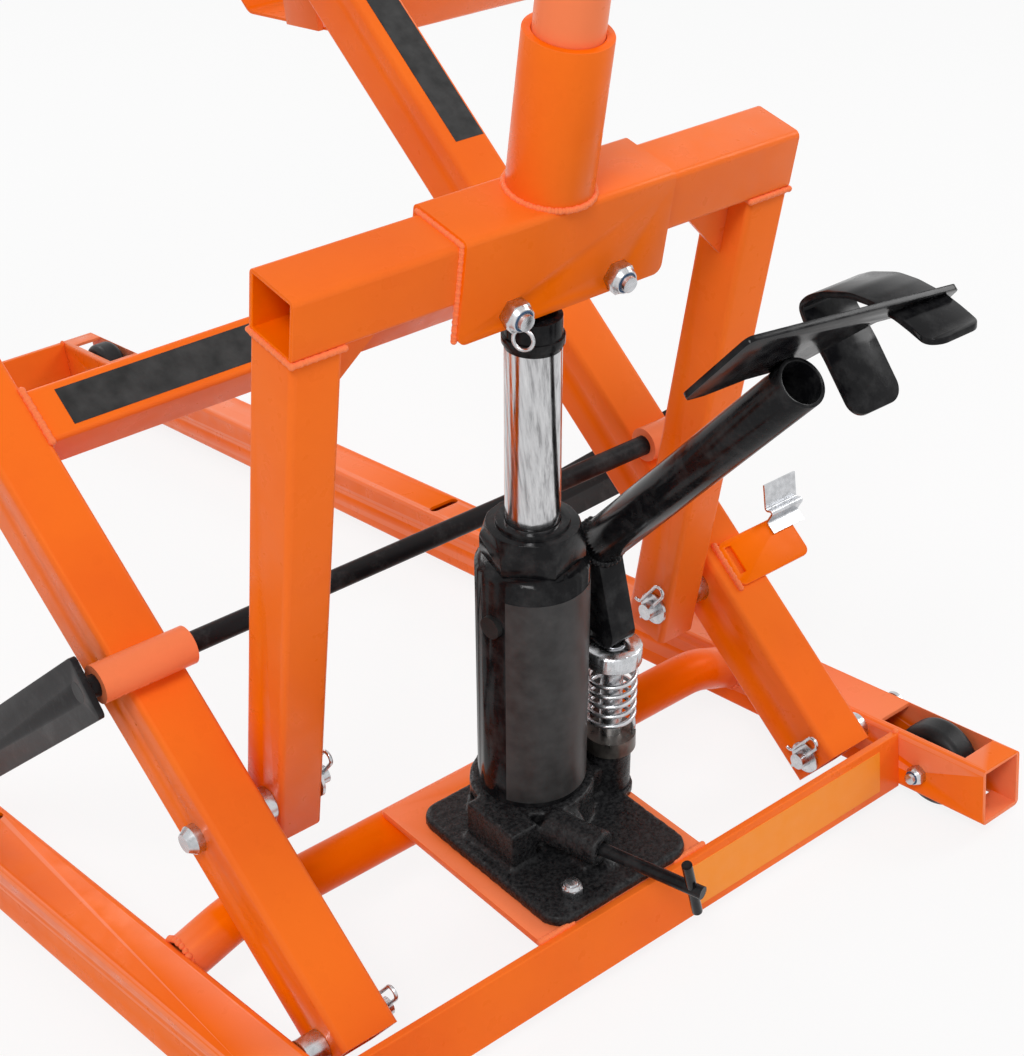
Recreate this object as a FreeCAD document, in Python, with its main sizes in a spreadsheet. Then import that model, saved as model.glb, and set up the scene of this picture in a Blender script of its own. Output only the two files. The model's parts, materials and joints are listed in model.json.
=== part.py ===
# A lawn mower lift: a wheeled base, a foot pumped bottle jack, a hinged frame with two
# wheel pans, and a drop-in lock bar. Every size is in millimetres and every angle in
# degrees. X runs left to right, Y from the pedal to the rear, and Z up from the floor.
import FreeCAD, Part
import math
import os
import Sketcher
from FreeCAD import Rotation, Vector

SIZES = {
    # The two rails, the bars between their ends and the pipe between them
    "rail_length": 1320, "rail_width": 40, "rail_height": 46, "rail_wall": 3, "rail_corner": 4,
    "rail_half_gap": 246, "bar_thickness": 6, "bar_edge": 1, "front_bar_place": 78,
    "wheel_slot_start": 21.5, "wheel_slot_end": 100, "wheel_slot_width": 31, "wheel_slot_shift": 1.5,
    "lock_slot_front": 485, "lock_slot_pitch": 78.5, "lock_slot_length": 30, "lock_slot_width": 10,
    "pipe_diameter": 32, "pipe_wall": 3, "pipe_straight": 205, "pipe_drop": 18, "pipe_back": 6,
    "pipe_bend_radius": 60,
    # The wheels and their bolts
    "wheel_diameter": 64, "wheel_width": 24, "wheel_from_end": 59, "wheel_drop": 26.5,
    "wheel_bore": 8.4, "wheel_crown": 7, "wheel_hub_diameter": 20, "wheel_hub_depth": 3,
    "wheel_rim_diameter": 46, "axle_diameter": 8,
    "m8_across": 13, "m8_head": 5.3, "m8_nut": 8, "bolt_tip": 3,
    # The plate that carries the jack
    "plate_left": 86, "plate_right": 55.5, "plate_length": 165, "plate_thickness": 5, "plate_tilt": 8.9,
    # The bottle jack, drawn from the middle of its foot on the plate
    "jack_side": -11, "jack_run": 98.7,
    "foot_left": 63, "foot_right": 57, "foot_front": 99, "foot_back": 45, "foot_thickness": 8,
    "foot_corner": 15, "foot_edge": 2,
    "drum_diameter": 83, "drum_height": 36, "drum_edge": 4,
    "pad_reach": 52, "pad_front": 42, "pad_back": 5, "pad_depth": 22,
    "rib_thickness": 7, "rib_height": 22,
    "boss_diameter": 24, "boss_height": 26, "boss_from": 38.5, "boss_to": 79,
    "ear_width": 17, "ear_place": 14, "ear_radius": 9, "ear_height": 22,
    "cylinder_diameter": 71.6, "cylinder_start": 36, "cylinder_end": 212, "cylinder_edge": 5,
    "gland_across": 57, "gland_height": 23, "gland_bore_clearance": 0.1, "gland_rim_diameter": 46,
    "gland_rim_height": 3, "gland_turn": 15, "gland_foot_radius": 36, "gland_top_radius": 29,
    "plug_diameter": 15, "plug_height": 3, "plug_turn": -83, "plug_below_top": 37,
    "foot_bolt_left": 35.7, "foot_bolt_front": 82, "foot_bolt_right": 42, "foot_bolt_back": 34,
    "foot_bolt_tip": 1,
    "ram_diameter": 34, "ram_top": 399, "ram_bottom": 84, "head_height": 45, "ring_diameter": 37,
    "ring_height": 5, "ring_below_top": 42, "tang_front": 5, "tang_back": 13, "tang_half_width": 15,
    "tang_height": 25,
    # The hand operated release valve
    "valve_diameter": 9, "valve_side": -7, "valve_lead": 79, "valve_turn": 16, "valve_length": 75,
    "valve_bar_diameter": 7, "valve_bar_length": 57,
    "valve_bar_tilt": 19, "valve_bar_from_end": 8, "valve_inside": 20,
    # The pump beside the jack
    "pump_side": 57, "pump_lead": 14, "tower_diameter": 29, "tower_height": 40.5,
    "collar_diameter": 35, "collar_top_diameter": 34.6, "collar_height": 11.5,
    "piston_diameter": 15, "piston_clearance": 0.1, "piston_bottom": 44, "piston_top": 125.6,
    "piston_stroke": 17.5, "bore_spare": 4,
    "spring_diameter": 34.5, "spring_wire": 3.2, "spring_coils": 5, "spring_seat_clearance": 0.25,
    "cap_diameter": 39, "cap_height": 12.5, "cap_bottom": 112, "cap_crown": 1.5,
    "lever_back": 28, "lever_rise": 128, "link_thickness": 4, "link_width": 18, "link_spread": 11,
    "lever_pin_diameter": 10, "lever_pin_head": 16, "lever_pin_head_height": 3,
    # The pedal: its fork, its socket tube, its plate and the strap across it
    "fork_width": 20, "nose_forward": 28, "nose_rise": 8, "nose_radius": 10, "eye_radius": 8,
    "heel_clearance": 1.5,
    "socket_forward": 205.7, "socket_rise": 219.9, "socket_tilt": 40.4, "socket_length": 240,
    "socket_diameter": 29.8, "socket_wall": 2.4,
    "tread_left": 52.7, "tread_forward": 13.9, "tread_rise": 45.6, "tread_pitch": 44.81, "tread_roll": 6.56,
    "tread_thickness": 3.5, "tread_width": 166.1, "tread_depth": 57, "tread_main": 110.7,
    "tread_bar_depth": 18, "tread_tip": 8, "tread_root_left": 34, "tread_root_right": 72,
    "tread_root_depth": 50, "tread_end_radius": 5,
    "strap_width": 42, "strap_thickness": 4, "strap_bend": 30, "strap_corner": 11,
    "strap_side": 4.5, "strap_back": 8.7, "strap_drop": 7.1,
    # The lifting arms and the tubes across them
    "pivot_place": 118.5, "pivot_drop": 10.5, "arm_angle": 44.88, "arm_inner": 191.5, "arm_width": 40,
    "arm_depth": 50, "arm_wall": 3, "arm_corner": 4, "arm_foot": 12, "arm_reach": 1085,
    "cross_start": 406.5, "cross_side": 38, "cross_wall": 2.5, "cross_corner": 3.5,
    "top_side": 50, "top_wall": 4, "top_half_length": 245, "top_corner": 4,
    "pivot_pin_diameter": 12, "pin_head_diameter": 19, "pin_head_height": 6, "leg_pin_head_height": 10,
    "spacer_diameter": 22, "washer_diameter": 24, "washer_thickness": 2, "pin_clearance": 0.1,
    "side_clearance": 0.25, "clip_gap": 4, "pin_tip": 4, "clip_wire": 2.5, "clip_leg": 22, "clip_loop": 4.5,
    "rod_place": 249.8, "bushing_diameter": 25, "bushing_start": 189, "bushing_end": 252,
    "rod_diameter": 14, "rod_clearance": 0.15,
    "bracket_start": 127, "bracket_length": 36, "bracket_width": 71, "bracket_thickness": 3,
    "bracket_side": 203.5, "bracket_slot_width": 6, "bracket_slot_length": 22, "bracket_slot_side": 5,
    "leaf_length": 32, "leaf_thickness": 1.5, "leaf_bend": 2, "leaf_side": 50, "leaf_reach": 22,
    "leaf_rise": 20,
    # The lock bar that drops into the slots of the rails
    "lock_tilt": 33.2, "lock_plate_side": 260, "lock_plate_thickness": 4, "lock_back": 14,
    "lock_upper": 20, "lock_lower": 20, "lock_run": 285, "lock_nose_run": 322, "lock_nose_low": 4,
    "lock_nose_high": 6, "lock_shoulder_run": 300, "lock_foot_start": 318, "lock_foot_length": 8,
    "lock_foot_width": 28, "lock_foot_low": 4, "lock_foot_high": 6,
    # The yoke that the ram pushes, and the handle on it
    "leg_pin_reach": 147, "yoke_lean": 17.9, "leg_inner": 148, "leg_width": 32.5, "leg_depth": 38,
    "leg_front": 12.54, "leg_foot": 27.28, "leg_top": 337.62, "leg_wall": 3, "leg_corner": 4,
    "beam_side": 38, "beam_wall": 3, "beam_corner": 4, "gusset_side": 45, "gusset_thickness": 5,
    "saddle_half_length": 75, "saddle_thickness": 4, "saddle_drop": 23.4, "saddle_corner": 6,
    "saddle_bolt_side": 38,
    "saddle_bolt_drop": 12.9, "m10_diameter": 10, "m10_across": 17, "m10_head": 6.4, "m10_nut": 10,
    "sleeve_diameter": 49.4, "sleeve_length": 91, "post_diameter": 38.8, "post_wall": 3,
    "post_clearance": 0.25, "handle_height": 909.7, "handle_diameter": 25, "handle_half_length": 190,
    "handle_wall": 2.5, "grip_diameter": 33, "grip_length": 115, "grip_end": 4,
    # The wheel pans and their sliding bars
    "pan_bar_clearance": 0.3, "pan_bar_inside": 190, "pan_bar_outside": 70, "pan_bar_wall": 3,
    "spindle_diameter": 20, "spindle_length": 26, "hanger_width": 50, "hanger_thickness": 6,
    "hanger_drop": 380, "hanger_corner": 10, "pan_width": 190, "pan_thickness": 3,
    "pan_lip_run": 49, "pan_lip_rise": 49, "pan_bed": 190, "pan_bend": 12,
    "pan_side_clearance": 0.3, "spindle_clearance": 0.15,
    "keeper_diameter": 30, "keeper_thickness": 3,
    # One overrun for every cut
    "overrun": 10,
}

# Shares of the sizes that they follow
HALF = 0.5
FORK_TIP_SHARE = 0.35
NUT_HEX_SHARE = 0.7
NUT_COLLAR_SHARE = 0.42
PIN_DOME_SHARE = 0.32
LINK_END_SHARE = 0.6
BEND_REACH_SHARE = 0.45
BOSS_WEB_SHARE = 1 / 3
SPRING_LEAD_SHARE = 0.4
STRAP_TOE_SHARE = 35 / 42

# The bends of the strap: shares of its width behind and above the tread's corner
STRAP_SHARES = ((0.595, -2.071), (0.857, -1.69), (1.119, -1.31), (1.476, -0.881), (1.571, -0.667),
                (1.429, -0.524), (1.143, -0.405), (0.667, -0.31), (0.31, -0.333), (-0.143, -0.429),
                (-0.381, -0.524), (-0.643, -0.643), (-STRAP_TOE_SHARE, -0.643))

# The bends of the spring leaf: shares of its reach and its rise
LEAF_SHARES = ((-0.45, 0), (0, 0), (0.1, 0.65), (0.32, 0.3), (1, 1))

QUARTERS_IN_TURN = 4
GAP_SAMPLES = 400

# A turn under this many radians counts as straight
STRAIGHT = 1e-4
SAME = 1e-6

document = FreeCAD.newDocument("MowerLift")
sheet = document.addObject("Spreadsheet::Sheet", "Sizes")
NODES = []


class Size:
    """A number together with the sheet expression that gives it."""

    def __init__(self, value, text):
        self.value = float(value)
        self.text = text

    def joined(self, other, sign, value):
        return Size(value, "(%s %s %s)" % (self.text, sign, other.text))

    def __add__(self, other):
        other = as_size(other)
        return self.joined(other, "+", self.value + other.value)

    def __sub__(self, other):
        other = as_size(other)
        return self.joined(other, "-", self.value - other.value)

    def __mul__(self, other):
        other = as_size(other)
        return self.joined(other, "*", self.value * other.value)

    def __truediv__(self, other):
        other = as_size(other)
        return self.joined(other, "/", self.value / other.value)

    def __neg__(self):
        return Size(-self.value, "(0 - %s)" % self.text)

    def __rmul__(self, other):
        return as_size(other) * self


def as_size(number):
    return number if isinstance(number, Size) else Size(number, repr(number))


def sine(angle):
    return Size(math.sin(math.radians(angle.value)), "sin(%s)" % angle.text)


def cosine(angle):
    return Size(math.cos(math.radians(angle.value)), "cos(%s)" % angle.text)


class Sheet:
    """Gives each alias of the sheet as a Size."""

    def __getattr__(self, alias):
        return Size(sheet.get(alias), "Sizes." + alias)


def fill_sheet():
    for row, (alias, value) in enumerate(SIZES.items(), start=1):
        sheet.set("A%d" % row, alias)
        sheet.set("B%d" % row, str(value))
        sheet.setAlias("B%d" % row, alias)
    document.recompute()


fill_sheet()
S = Sheet()
ZERO = as_size(0)


class Frame:
    """An origin and a turn about X; what is drawn in it uses its own X, Y and Z."""

    def __init__(self, x, y, z, turn=ZERO):
        self.x, self.y, self.z, self.turn = x, y, z, turn

    def point(self, x, y, z):
        y, z = as_size(y), as_size(z)
        return (self.x + x,
                self.y + y * cosine(self.turn) - z * sine(self.turn),
                self.z + y * sine(self.turn) + z * cosine(self.turn))

    def shifted(self, x, y, z):
        return Frame(*self.point(x, y, z), self.turn)

    def turned(self, x, y, z, turn):
        return Frame(*self.point(x, y, z), turn)


def turn_text(axis, angle):
    return "rotation(vector(%d; %d; %d); %s)" % (*axis, as_size(angle).text)


def place(thing, frame, *turns):
    """Binds a placement: the frame's origin and turn, then any more turns of the piece itself."""
    texts = [turn_text((1, 0, 0), frame.turn)] + [turn_text(axis, angle) for axis, angle in turns]
    origin = "vector(%s; %s; %s)" % (frame.x.text, frame.y.text, frame.z.text)
    thing.setExpression("Placement", "placement(%s; %s)" % (origin, " * ".join(texts)))
    return thing


ALONG_X = ((0, 1, 0), 90)
TO_FRONT = ((1, 0, 0), 90)
ALONG_Y = ((1, 0, 0), -90)
HERE = Frame(ZERO, ZERO, ZERO)


def bind(thing, **sizes):
    for prop, size in sizes.items():
        thing.setExpression(prop, as_size(size).text)
    return thing


def node(thing, name):
    """Marks a finished sub-part, whose label names its file."""
    thing.Label = name
    NODES.append(thing)
    return thing


# Sketches and PartDesign features
def new_body(name):
    return document.addObject("PartDesign::Body", "Body_" + name)


def new_sketch(body, name, plane):
    sketch = body.newObject("Sketcher::SketchObject", name)
    origin_plane = [item for item in body.Origin.OriginFeatures if item.Role == plane][0]
    sketch.AttachmentSupport = [(origin_plane, "")]
    sketch.MapMode = "FlatFace"
    return sketch


def hold(sketch, kind, edge, size, end=1):
    index = sketch.addConstraint(Sketcher.Constraint(kind, -1, 1, edge, end, size.value))
    sketch.setExpression("Constraints[%d]" % index, size.text)


def hold_radius(sketch, edge, size):
    index = sketch.addConstraint(Sketcher.Constraint("Radius", edge, size.value))
    sketch.setExpression("Constraints[%d]" % index, size.text)


def draw_outline(sketch, points):
    """A closed outline of straight edges through the points."""
    first = sketch.GeometryCount
    points = [(as_size(across), as_size(up)) for across, up in points]
    for (x0, y0), (x1, y1) in zip(points, points[1:] + points[:1]):
        sketch.addGeometry(Part.LineSegment(Vector(x0.value, y0.value, 0), Vector(x1.value, y1.value, 0)))
    for index, (across, up) in enumerate(points):
        after = first + (index + 1) % len(points)
        sketch.addConstraint(Sketcher.Constraint("Coincident", first + index, 2, after, 1))
        hold(sketch, "DistanceX", first + index, across)
        hold(sketch, "DistanceY", first + index, up)


def draw_box(sketch, left, right, low, high):
    draw_outline(sketch, [(left, low), (right, low), (right, high), (left, high)])


def draw_circle(sketch, across, up, radius):
    across, up = as_size(across), as_size(up)
    centre = Vector(across.value, up.value, 0)
    edge = sketch.addGeometry(Part.Circle(centre, Vector(0, 0, 1), radius.value))
    hold(sketch, "DistanceX", edge, across, 3)
    hold(sketch, "DistanceY", edge, up, 3)
    hold_radius(sketch, edge, radius)


def draw_slot(sketch, across, up, length, width):
    """A slot along the sketch's first axis with rounded ends."""
    radius = width / 2
    reach = length / 2 - radius
    first = sketch.GeometryCount
    low, high = up - radius, up + radius
    left, right = across - reach, across + reach
    for start, end, level in ((left, right, low), (right, left, high)):
        from_spot, to_spot = (Vector(place_on.value, level.value, 0) for place_on in (start, end))
        sketch.addGeometry(Part.LineSegment(from_spot, to_spot))
    normal = Vector(0, 0, 1)
    for middle, begin in ((right, -math.pi / 2), (left, math.pi / 2)):
        circle = Part.Circle(Vector(middle.value, up.value, 0), normal, radius.value)
        sketch.addGeometry(Part.ArcOfCircle(circle, begin, begin + math.pi))
    for edge, start, end, level in ((first, left, right, low), (first + 1, right, left, high)):
        hold(sketch, "DistanceX", edge, start)
        hold(sketch, "DistanceY", edge, level)
        hold(sketch, "DistanceX", edge, end, 2)
        hold(sketch, "DistanceY", edge, level, 2)
    for edge, end, arc, arc_end in ((first, 2, first + 2, 1), (first + 1, 1, first + 2, 2),
                                    (first + 1, 2, first + 3, 1), (first, 1, first + 3, 2)):
        sketch.addConstraint(Sketcher.Constraint("Coincident", edge, end, arc, arc_end))
    hold(sketch, "DistanceX", first + 2, right, 3)
    hold(sketch, "DistanceX", first + 3, left, 3)


def pad(body, sketch, length, both_ways=False, backwards=False):
    feature = body.newObject("PartDesign::Pad", "Pad")
    feature.Profile = sketch
    bind(feature, Length=length)
    feature.Midplane = both_ways
    feature.Reversed = backwards
    document.recompute()
    return feature


def cut(body, sketch, length, both_ways=False, backwards=False):
    """Cuts the sketch out of the body, and makes sure that something came away."""
    before = body.Shape.Volume
    feature = body.newObject("PartDesign::Pocket", "Pocket")
    feature.Profile = sketch
    bind(feature, Length=length)
    feature.Midplane = both_ways
    feature.Reversed = backwards
    document.recompute()
    if body.Shape.Volume >= before:
        raise RuntimeError("nothing was cut from " + body.Name)
    return feature


def turn_round(body, sketch, axis):
    feature = body.newObject("PartDesign::Revolution", "Revolution")
    feature.Profile = sketch
    feature.ReferenceAxis = (sketch, [axis])
    feature.Angle = 360
    document.recompute()
    return feature


def round_edges(body, radius, wanted):
    """Rounds the edges of the body's last feature that the test wants."""
    base = body.Tip
    names = ["Edge%d" % (index + 1) for index, edge in enumerate(base.Shape.Edges) if wanted(edge)]
    feature = body.newObject("PartDesign::Fillet", "Fillet")
    feature.Base = (base, names)
    bind(feature, Radius=radius)
    document.recompute()
    return feature


def runs_along(edge, axis):
    """True for a straight edge along the axis, 0 for X, 1 for Y and 2 for Z."""
    if edge.Curve.TypeId != "Part::GeomLine":
        return False
    return abs(abs(edge.Curve.Direction[axis]) - 1) < SAME


PLANES = {0: "YZ_Plane", 1: "XZ_Plane", 2: "XY_Plane"}


def box_tube(name, axis, first, second, wall, corner, length, both_ways=False):
    """A rectangular tube along an axis. first and second are its limits across."""
    body = new_body(name)
    outer = new_sketch(body, "Outer", PLANES[axis])
    draw_box(outer, *first, *second)
    pad(body, outer, length, both_ways, axis == 1)
    round_edges(body, corner, lambda edge: runs_along(edge, axis))
    inner = new_sketch(body, "Inner", PLANES[axis])
    draw_box(inner, first[0] + wall, first[1] - wall, second[0] + wall, second[1] - wall)
    if both_ways:
        cut(body, inner, length + 2 * S.overrun, True)
    else:
        cut(body, inner, length + S.overrun, False, axis != 1)
    return body


def drill(body, axis, places, radius, depth):
    """Round holes through the body along an axis, to both sides of the origin plane."""
    sketch = new_sketch(body, "Holes", PLANES[axis])
    for across, up in places:
        draw_circle(sketch, across, up, radius)
    cut(body, sketch, depth, True)


# Primitives and groups
def cylinder(radius, length, frame, *turns):
    rod = document.addObject("Part::Cylinder", "Rod")
    bind(rod, Radius=radius, Height=length)
    return place(rod, frame, *turns)


def cone(low_radius, high_radius, length, frame, *turns):
    body = document.addObject("Part::Cone", "Cone")
    bind(body, Radius1=low_radius, Radius2=high_radius, Height=length)
    return place(body, frame, *turns)


def hexagon(across, height, frame, *turns):
    body = document.addObject("Part::Prism", "Hexagon")
    body.Polygon = 6
    bind(body, Circumradius=across / 2 / cosine(as_size(30)), Height=height)
    return place(body, frame, *turns)


def block(x, y, z, frame):
    """A box from the frame's origin; x, y and z are (low, high) pairs."""
    body = document.addObject("Part::Box", "Block")
    bind(body, Length=x[1] - x[0], Width=y[1] - y[0], Height=z[1] - z[0])
    return place(body, frame.shifted(x[0], y[0], z[0]))


def together(*parts):
    fused = document.addObject("Part::MultiFuse", "Fused")
    fused.Shapes = list(parts)
    fused.Refine = True
    return fused


def taken(base, tool):
    less = document.addObject("Part::Cut", "Less")
    less.Base = base
    less.Tool = tool
    return less


def shared(first, second):
    common = document.addObject("Part::Common", "Shared")
    common.Base = first
    common.Tool = second
    return common


def group(parts):
    gathered = document.addObject("Part::Compound", "Group")
    gathered.Links = list(parts)
    return gathered


def ring(outer, inner, length, frame, *turns):
    return taken(cylinder(outer, length, frame, *turns), cylinder(inner, length, frame, *turns))


def shaped(shape, frame, name="Shaped"):
    """A piece whose shape is worked out in code, in its frame."""
    feature = document.addObject("Part::Feature", name)
    feature.Shape = shape
    return place(feature, frame)


def bent_path(points, radius):
    """Straight runs through (y, z) points joined by tangent arcs, as starts, turns and ends."""
    corners = [Vector(0, y, z) for y, z in points]
    bends = []
    for before, here, after in zip(corners, corners[1:], corners[2:]):
        inward, outward = (here - before).normalize(), (after - here).normalize()
        turn = inward.getAngle(outward)
        if turn < STRAIGHT:
            continue
        room = BEND_REACH_SHARE * min((here - before).Length, (after - here).Length)
        reach = min(radius * math.tan(turn / 2), room)
        size = reach / math.tan(turn / 2)
        side = 1 if inward.cross(outward).x > 0 else -1
        normal = Vector(0, -inward.z, inward.y) * side
        centre = here - inward * reach + normal * size
        bends.append((here - inward * reach, here + outward * reach, centre, size, side))
    return corners, bends


def bent_strip(points, thickness, radius):
    """The face of a strip that follows the path at an even thickness."""
    corners, bends = bent_path(points, radius)
    sides = []
    for shift in (thickness / 2, -thickness / 2):
        edges = []
        start_way = (corners[1] - corners[0]).normalize()
        last = corners[0] + Vector(0, -start_way.z, start_way.y) * shift
        for begin, end, centre, size, side in bends:
            way = (begin - centre).normalize()
            leave = (end - centre).normalize()
            reach = size - side * shift
            first, second = centre + way * reach, centre + leave * reach
            middle = centre + (way + leave).normalize() * reach
            edges.append(Part.LineSegment(last, first).toShape())
            edges.append(Part.Arc(first, middle, second).toShape())
            last = second
        end_way = (corners[-1] - corners[-2]).normalize()
        tip = corners[-1] + Vector(0, -end_way.z, end_way.y) * shift
        edges.append(Part.LineSegment(last, tip).toShape())
        sides.append((edges, tip))
    (left, left_tip), (right, right_tip) = sides
    left_start, right_start = left[0].Vertexes[0].Point, right[0].Vertexes[0].Point
    closing = [Part.LineSegment(*ends).toShape()
               for ends in ((left_tip, right_tip), (right_start, left_start))]
    wire = Part.Wire(Part.__sortEdges__(left + right + closing))
    return Part.Face(wire)


def numbers(*sizes):
    return [as_size(size).value for size in sizes]


# The frames that the pieces are drawn in, at rest
def frames_on(base):
    """The plate, the jack, the pump and the pedal's pivot, from the frame of the base."""
    plate = base.turned(0, S.front_bar_place + S.bar_thickness, 0, S.plate_tilt)
    jack = plate.shifted(S.jack_side, S.jack_run, 0)
    pump = jack.shifted(S.pump_side, -S.pump_lead, 0)
    return plate, jack, pump, pump.turned(0, S.lever_back, S.lever_rise, ZERO)


def middle_of_length():
    """Half way from the strap's toe to the rear ends of the rails."""
    lever = frames_on(HERE)[-1]
    toe = lever.y - S.socket_forward - S.tread_forward + S.strap_back - S.strap_width * STRAP_TOE_SHARE
    return (toe + S.rail_length) * HALF


BASE = Frame(ZERO, -middle_of_length(), S.wheel_drop + S.wheel_diameter / 2)
PLATE, JACK, PUMP, LEVER = frames_on(BASE)
MOUTH = LEVER.turned(0, -S.socket_forward, S.socket_rise, -S.socket_tilt)
TREAD = Frame(MOUTH.x - S.tread_left, MOUTH.y - S.tread_forward, MOUTH.z + S.tread_rise)
TREAD_TURNS = (((0, 1, 0), S.tread_roll), ((1, 0, 0), -S.tread_pitch))
PIVOT = BASE.turned(0, S.pivot_place, -S.pivot_drop, S.arm_angle)
ROD = PIVOT.turned(0, S.rod_place, S.arm_depth / 2 + S.bushing_diameter / 2, -S.lock_tilt)
LEG_PIN = PIVOT.turned(0, S.leg_pin_reach, 0, S.yoke_lean)
TOP = PIVOT.turned(0, S.arm_reach - S.top_side / 2, S.arm_depth / 2 + S.top_side / 2, ZERO)
BEAM_MIDDLE = S.leg_depth / 2 - S.leg_front
ARM_OUTER = S.arm_inner + S.arm_width
LEG_OUTER = S.leg_inner + S.leg_width
RAIL_OUTER = S.rail_half_gap + S.rail_width
RAIL_MIDDLE = S.rail_half_gap + S.rail_width / 2
SIDES = (("left", -1), ("right", 1))
FOOT_BOLTS = ((-S.foot_bolt_left, -S.foot_bolt_front), (S.foot_bolt_right, S.foot_bolt_back))


# The base
def make_rail(name, side):
    middle = RAIL_MIDDLE * side
    half = S.rail_width / 2
    body = box_tube(name, 1, (middle - half, middle + half), (-S.rail_height, ZERO),
                    S.rail_wall, S.rail_corner, S.rail_length)
    slots = new_sketch(body, "WheelSlots", "XY_Plane")
    slot_middle = middle + S.wheel_slot_shift * side
    left, right = slot_middle - S.wheel_slot_width / 2, slot_middle + S.wheel_slot_width / 2
    draw_box(slots, left, right, S.wheel_slot_start, S.wheel_slot_end)
    draw_box(slots, left, right, S.rail_length - S.wheel_slot_end, S.rail_length - S.wheel_slot_start)
    cut(body, slots, 2 * (S.rail_height + S.overrun), True)
    locks = new_sketch(body, "LockSlots", "XY_Plane")
    for step in range(3):
        draw_slot(locks, middle, S.lock_slot_front + S.lock_slot_pitch * step,
                  S.lock_slot_length, S.lock_slot_width)
    cut(body, locks, S.rail_wall * 2, True)
    drill(body, 0, [(S.wheel_from_end, -S.wheel_drop), (S.rail_length - S.wheel_from_end, -S.wheel_drop)],
          S.axle_diameter / 2 + S.pin_clearance, 2 * (RAIL_OUTER + S.overrun))
    drill(body, 0, [(S.pivot_place, -S.pivot_drop)],
          S.pivot_pin_diameter / 2 + S.pin_clearance, 2 * (RAIL_OUTER + S.overrun))
    node(place(body, BASE), name)


def make_bar(name, start):
    body = new_body(name)
    sketch = new_sketch(body, "Face", "XZ_Plane")
    draw_box(sketch, -S.rail_half_gap, S.rail_half_gap, -S.rail_height, ZERO)
    pad(body, sketch, S.bar_thickness, False, True)
    round_edges(body, S.bar_edge, lambda edge: runs_along(edge, 0))
    node(place(body, BASE.shifted(0, start, 0)), name)


def make_plate():
    body = new_body("jack_plate")
    sketch = new_sketch(body, "Top", "XY_Plane")
    draw_box(sketch, -S.plate_left, S.plate_right, ZERO, S.plate_length)
    pad(body, sketch, S.plate_thickness, False, True)
    holes = new_sketch(body, "BoltHoles", "XY_Plane")
    for across, back in FOOT_BOLTS:
        draw_circle(holes, S.jack_side + across, S.jack_run + back, S.axle_diameter / 2 + S.pin_clearance)
    cut(body, holes, 2 * (S.plate_thickness + S.overrun), True)
    node(place(body, PLATE), "jack_plate")


def mirrored(spot):
    return Vector(-spot.x, spot.y, spot.z)


def make_pipe():
    """The pipe lies under the plate's rear edge and bends down to the rails at its ends."""
    under = PLATE.point(0, S.plate_length, -(S.plate_thickness + S.pipe_diameter / 2))
    y, z, diameter, wall = numbers(under[1], under[2], S.pipe_diameter, S.pipe_wall)
    straight, gap, back, drop, bend = numbers(S.pipe_straight, S.rail_half_gap, S.pipe_back,
                                              S.pipe_drop, S.pipe_bend_radius)
    across = Vector(1, 0, 0)
    way = Vector(gap - straight, back, -drop).normalize()
    turn = way.getAngle(across)
    reach = bend * math.tan(turn / 2)
    corner = Vector(straight, y, z)
    halfway = corner + (way - across).normalize() * (bend / math.cos(turn / 2) - bend)
    begin, leave = corner - across * reach, corner + way * reach
    end = corner + way * ((gap - straight) / way.x + diameter)
    path = Part.Wire([
        Part.LineSegment(mirrored(end), mirrored(leave)).toShape(),
        Part.Arc(mirrored(leave), mirrored(halfway), mirrored(begin)).toShape(),
        Part.LineSegment(mirrored(begin), begin).toShape(),
        Part.Arc(begin, halfway, leave).toShape(),
        Part.LineSegment(leave, end).toShape()])
    solids = []
    for radius in (diameter / 2, diameter / 2 - wall):
        circle = Part.Wire(Part.Circle(mirrored(end), mirrored(way), radius).toShape())
        solids.append(path.makePipeShell([circle], True, False))
    room = Part.makeBox(2 * gap, 4 * diameter, 4 * diameter, Vector(-gap, y - 2 * diameter, z - 2 * diameter))
    # The places above are already those of the whole part, so the piece keeps them
    node(shaped(solids[0].cut(solids[1]).common(room), HERE), "cross_pipe")


def make_wheel(name, side, start):
    """A solid wheel with a crowned tread, sunk faces and a raised hub."""
    body = new_body(name)
    sketch = new_sketch(body, "Section", "XY_Plane")
    half = S.wheel_width / 2
    sunk = half - S.wheel_hub_depth
    bore, hub, rim, tread = (size / 2 for size in (S.wheel_bore, S.wheel_hub_diameter, S.wheel_rim_diameter,
                                                   S.wheel_diameter))
    draw_outline(sketch, [
        (bore, -half), (hub, -half), (hub, -sunk), (rim, -sunk), (rim, -half), (tread, -half),
        (tread, half), (rim, half), (rim, sunk), (hub, sunk), (hub, half), (bore, half)])
    turn_round(body, sketch, "V_Axis")
    largest = S.wheel_diameter.value / 2
    round_edges(body, S.wheel_crown, lambda edge: hasattr(edge.Curve, "Radius")
                and abs(edge.Curve.Radius - largest) < SAME)
    spot = BASE.shifted((RAIL_MIDDLE + S.wheel_slot_shift) * side, start, -S.wheel_drop)
    node(place(body, spot, ((0, 0, 1), 90)), name)


def bolt(diameter, across, head, length, frame, *turns):
    """A hex bolt along the turned Z, its head below the frame's origin."""
    shank = cylinder(diameter / 2, length, HERE)
    cap = hexagon(across, head, HERE.shifted(0, 0, -head))
    return place(together(shank, cap), frame, *turns)


def lock_nut(diameter, across, height, frame, *turns):
    """A hex nut with a round collar for its insert."""
    hex_height = height * NUT_HEX_SHARE
    nut = hexagon(across, hex_height, HERE)
    collar = cone(across / 2, across * NUT_COLLAR_SHARE, height - hex_height, HERE.shifted(0, 0, hex_height))
    hole = cylinder(diameter / 2, height + 2 * S.overrun, HERE.shifted(0, 0, -S.overrun))
    return place(taken(together(nut, collar), hole), frame, *turns)


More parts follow.
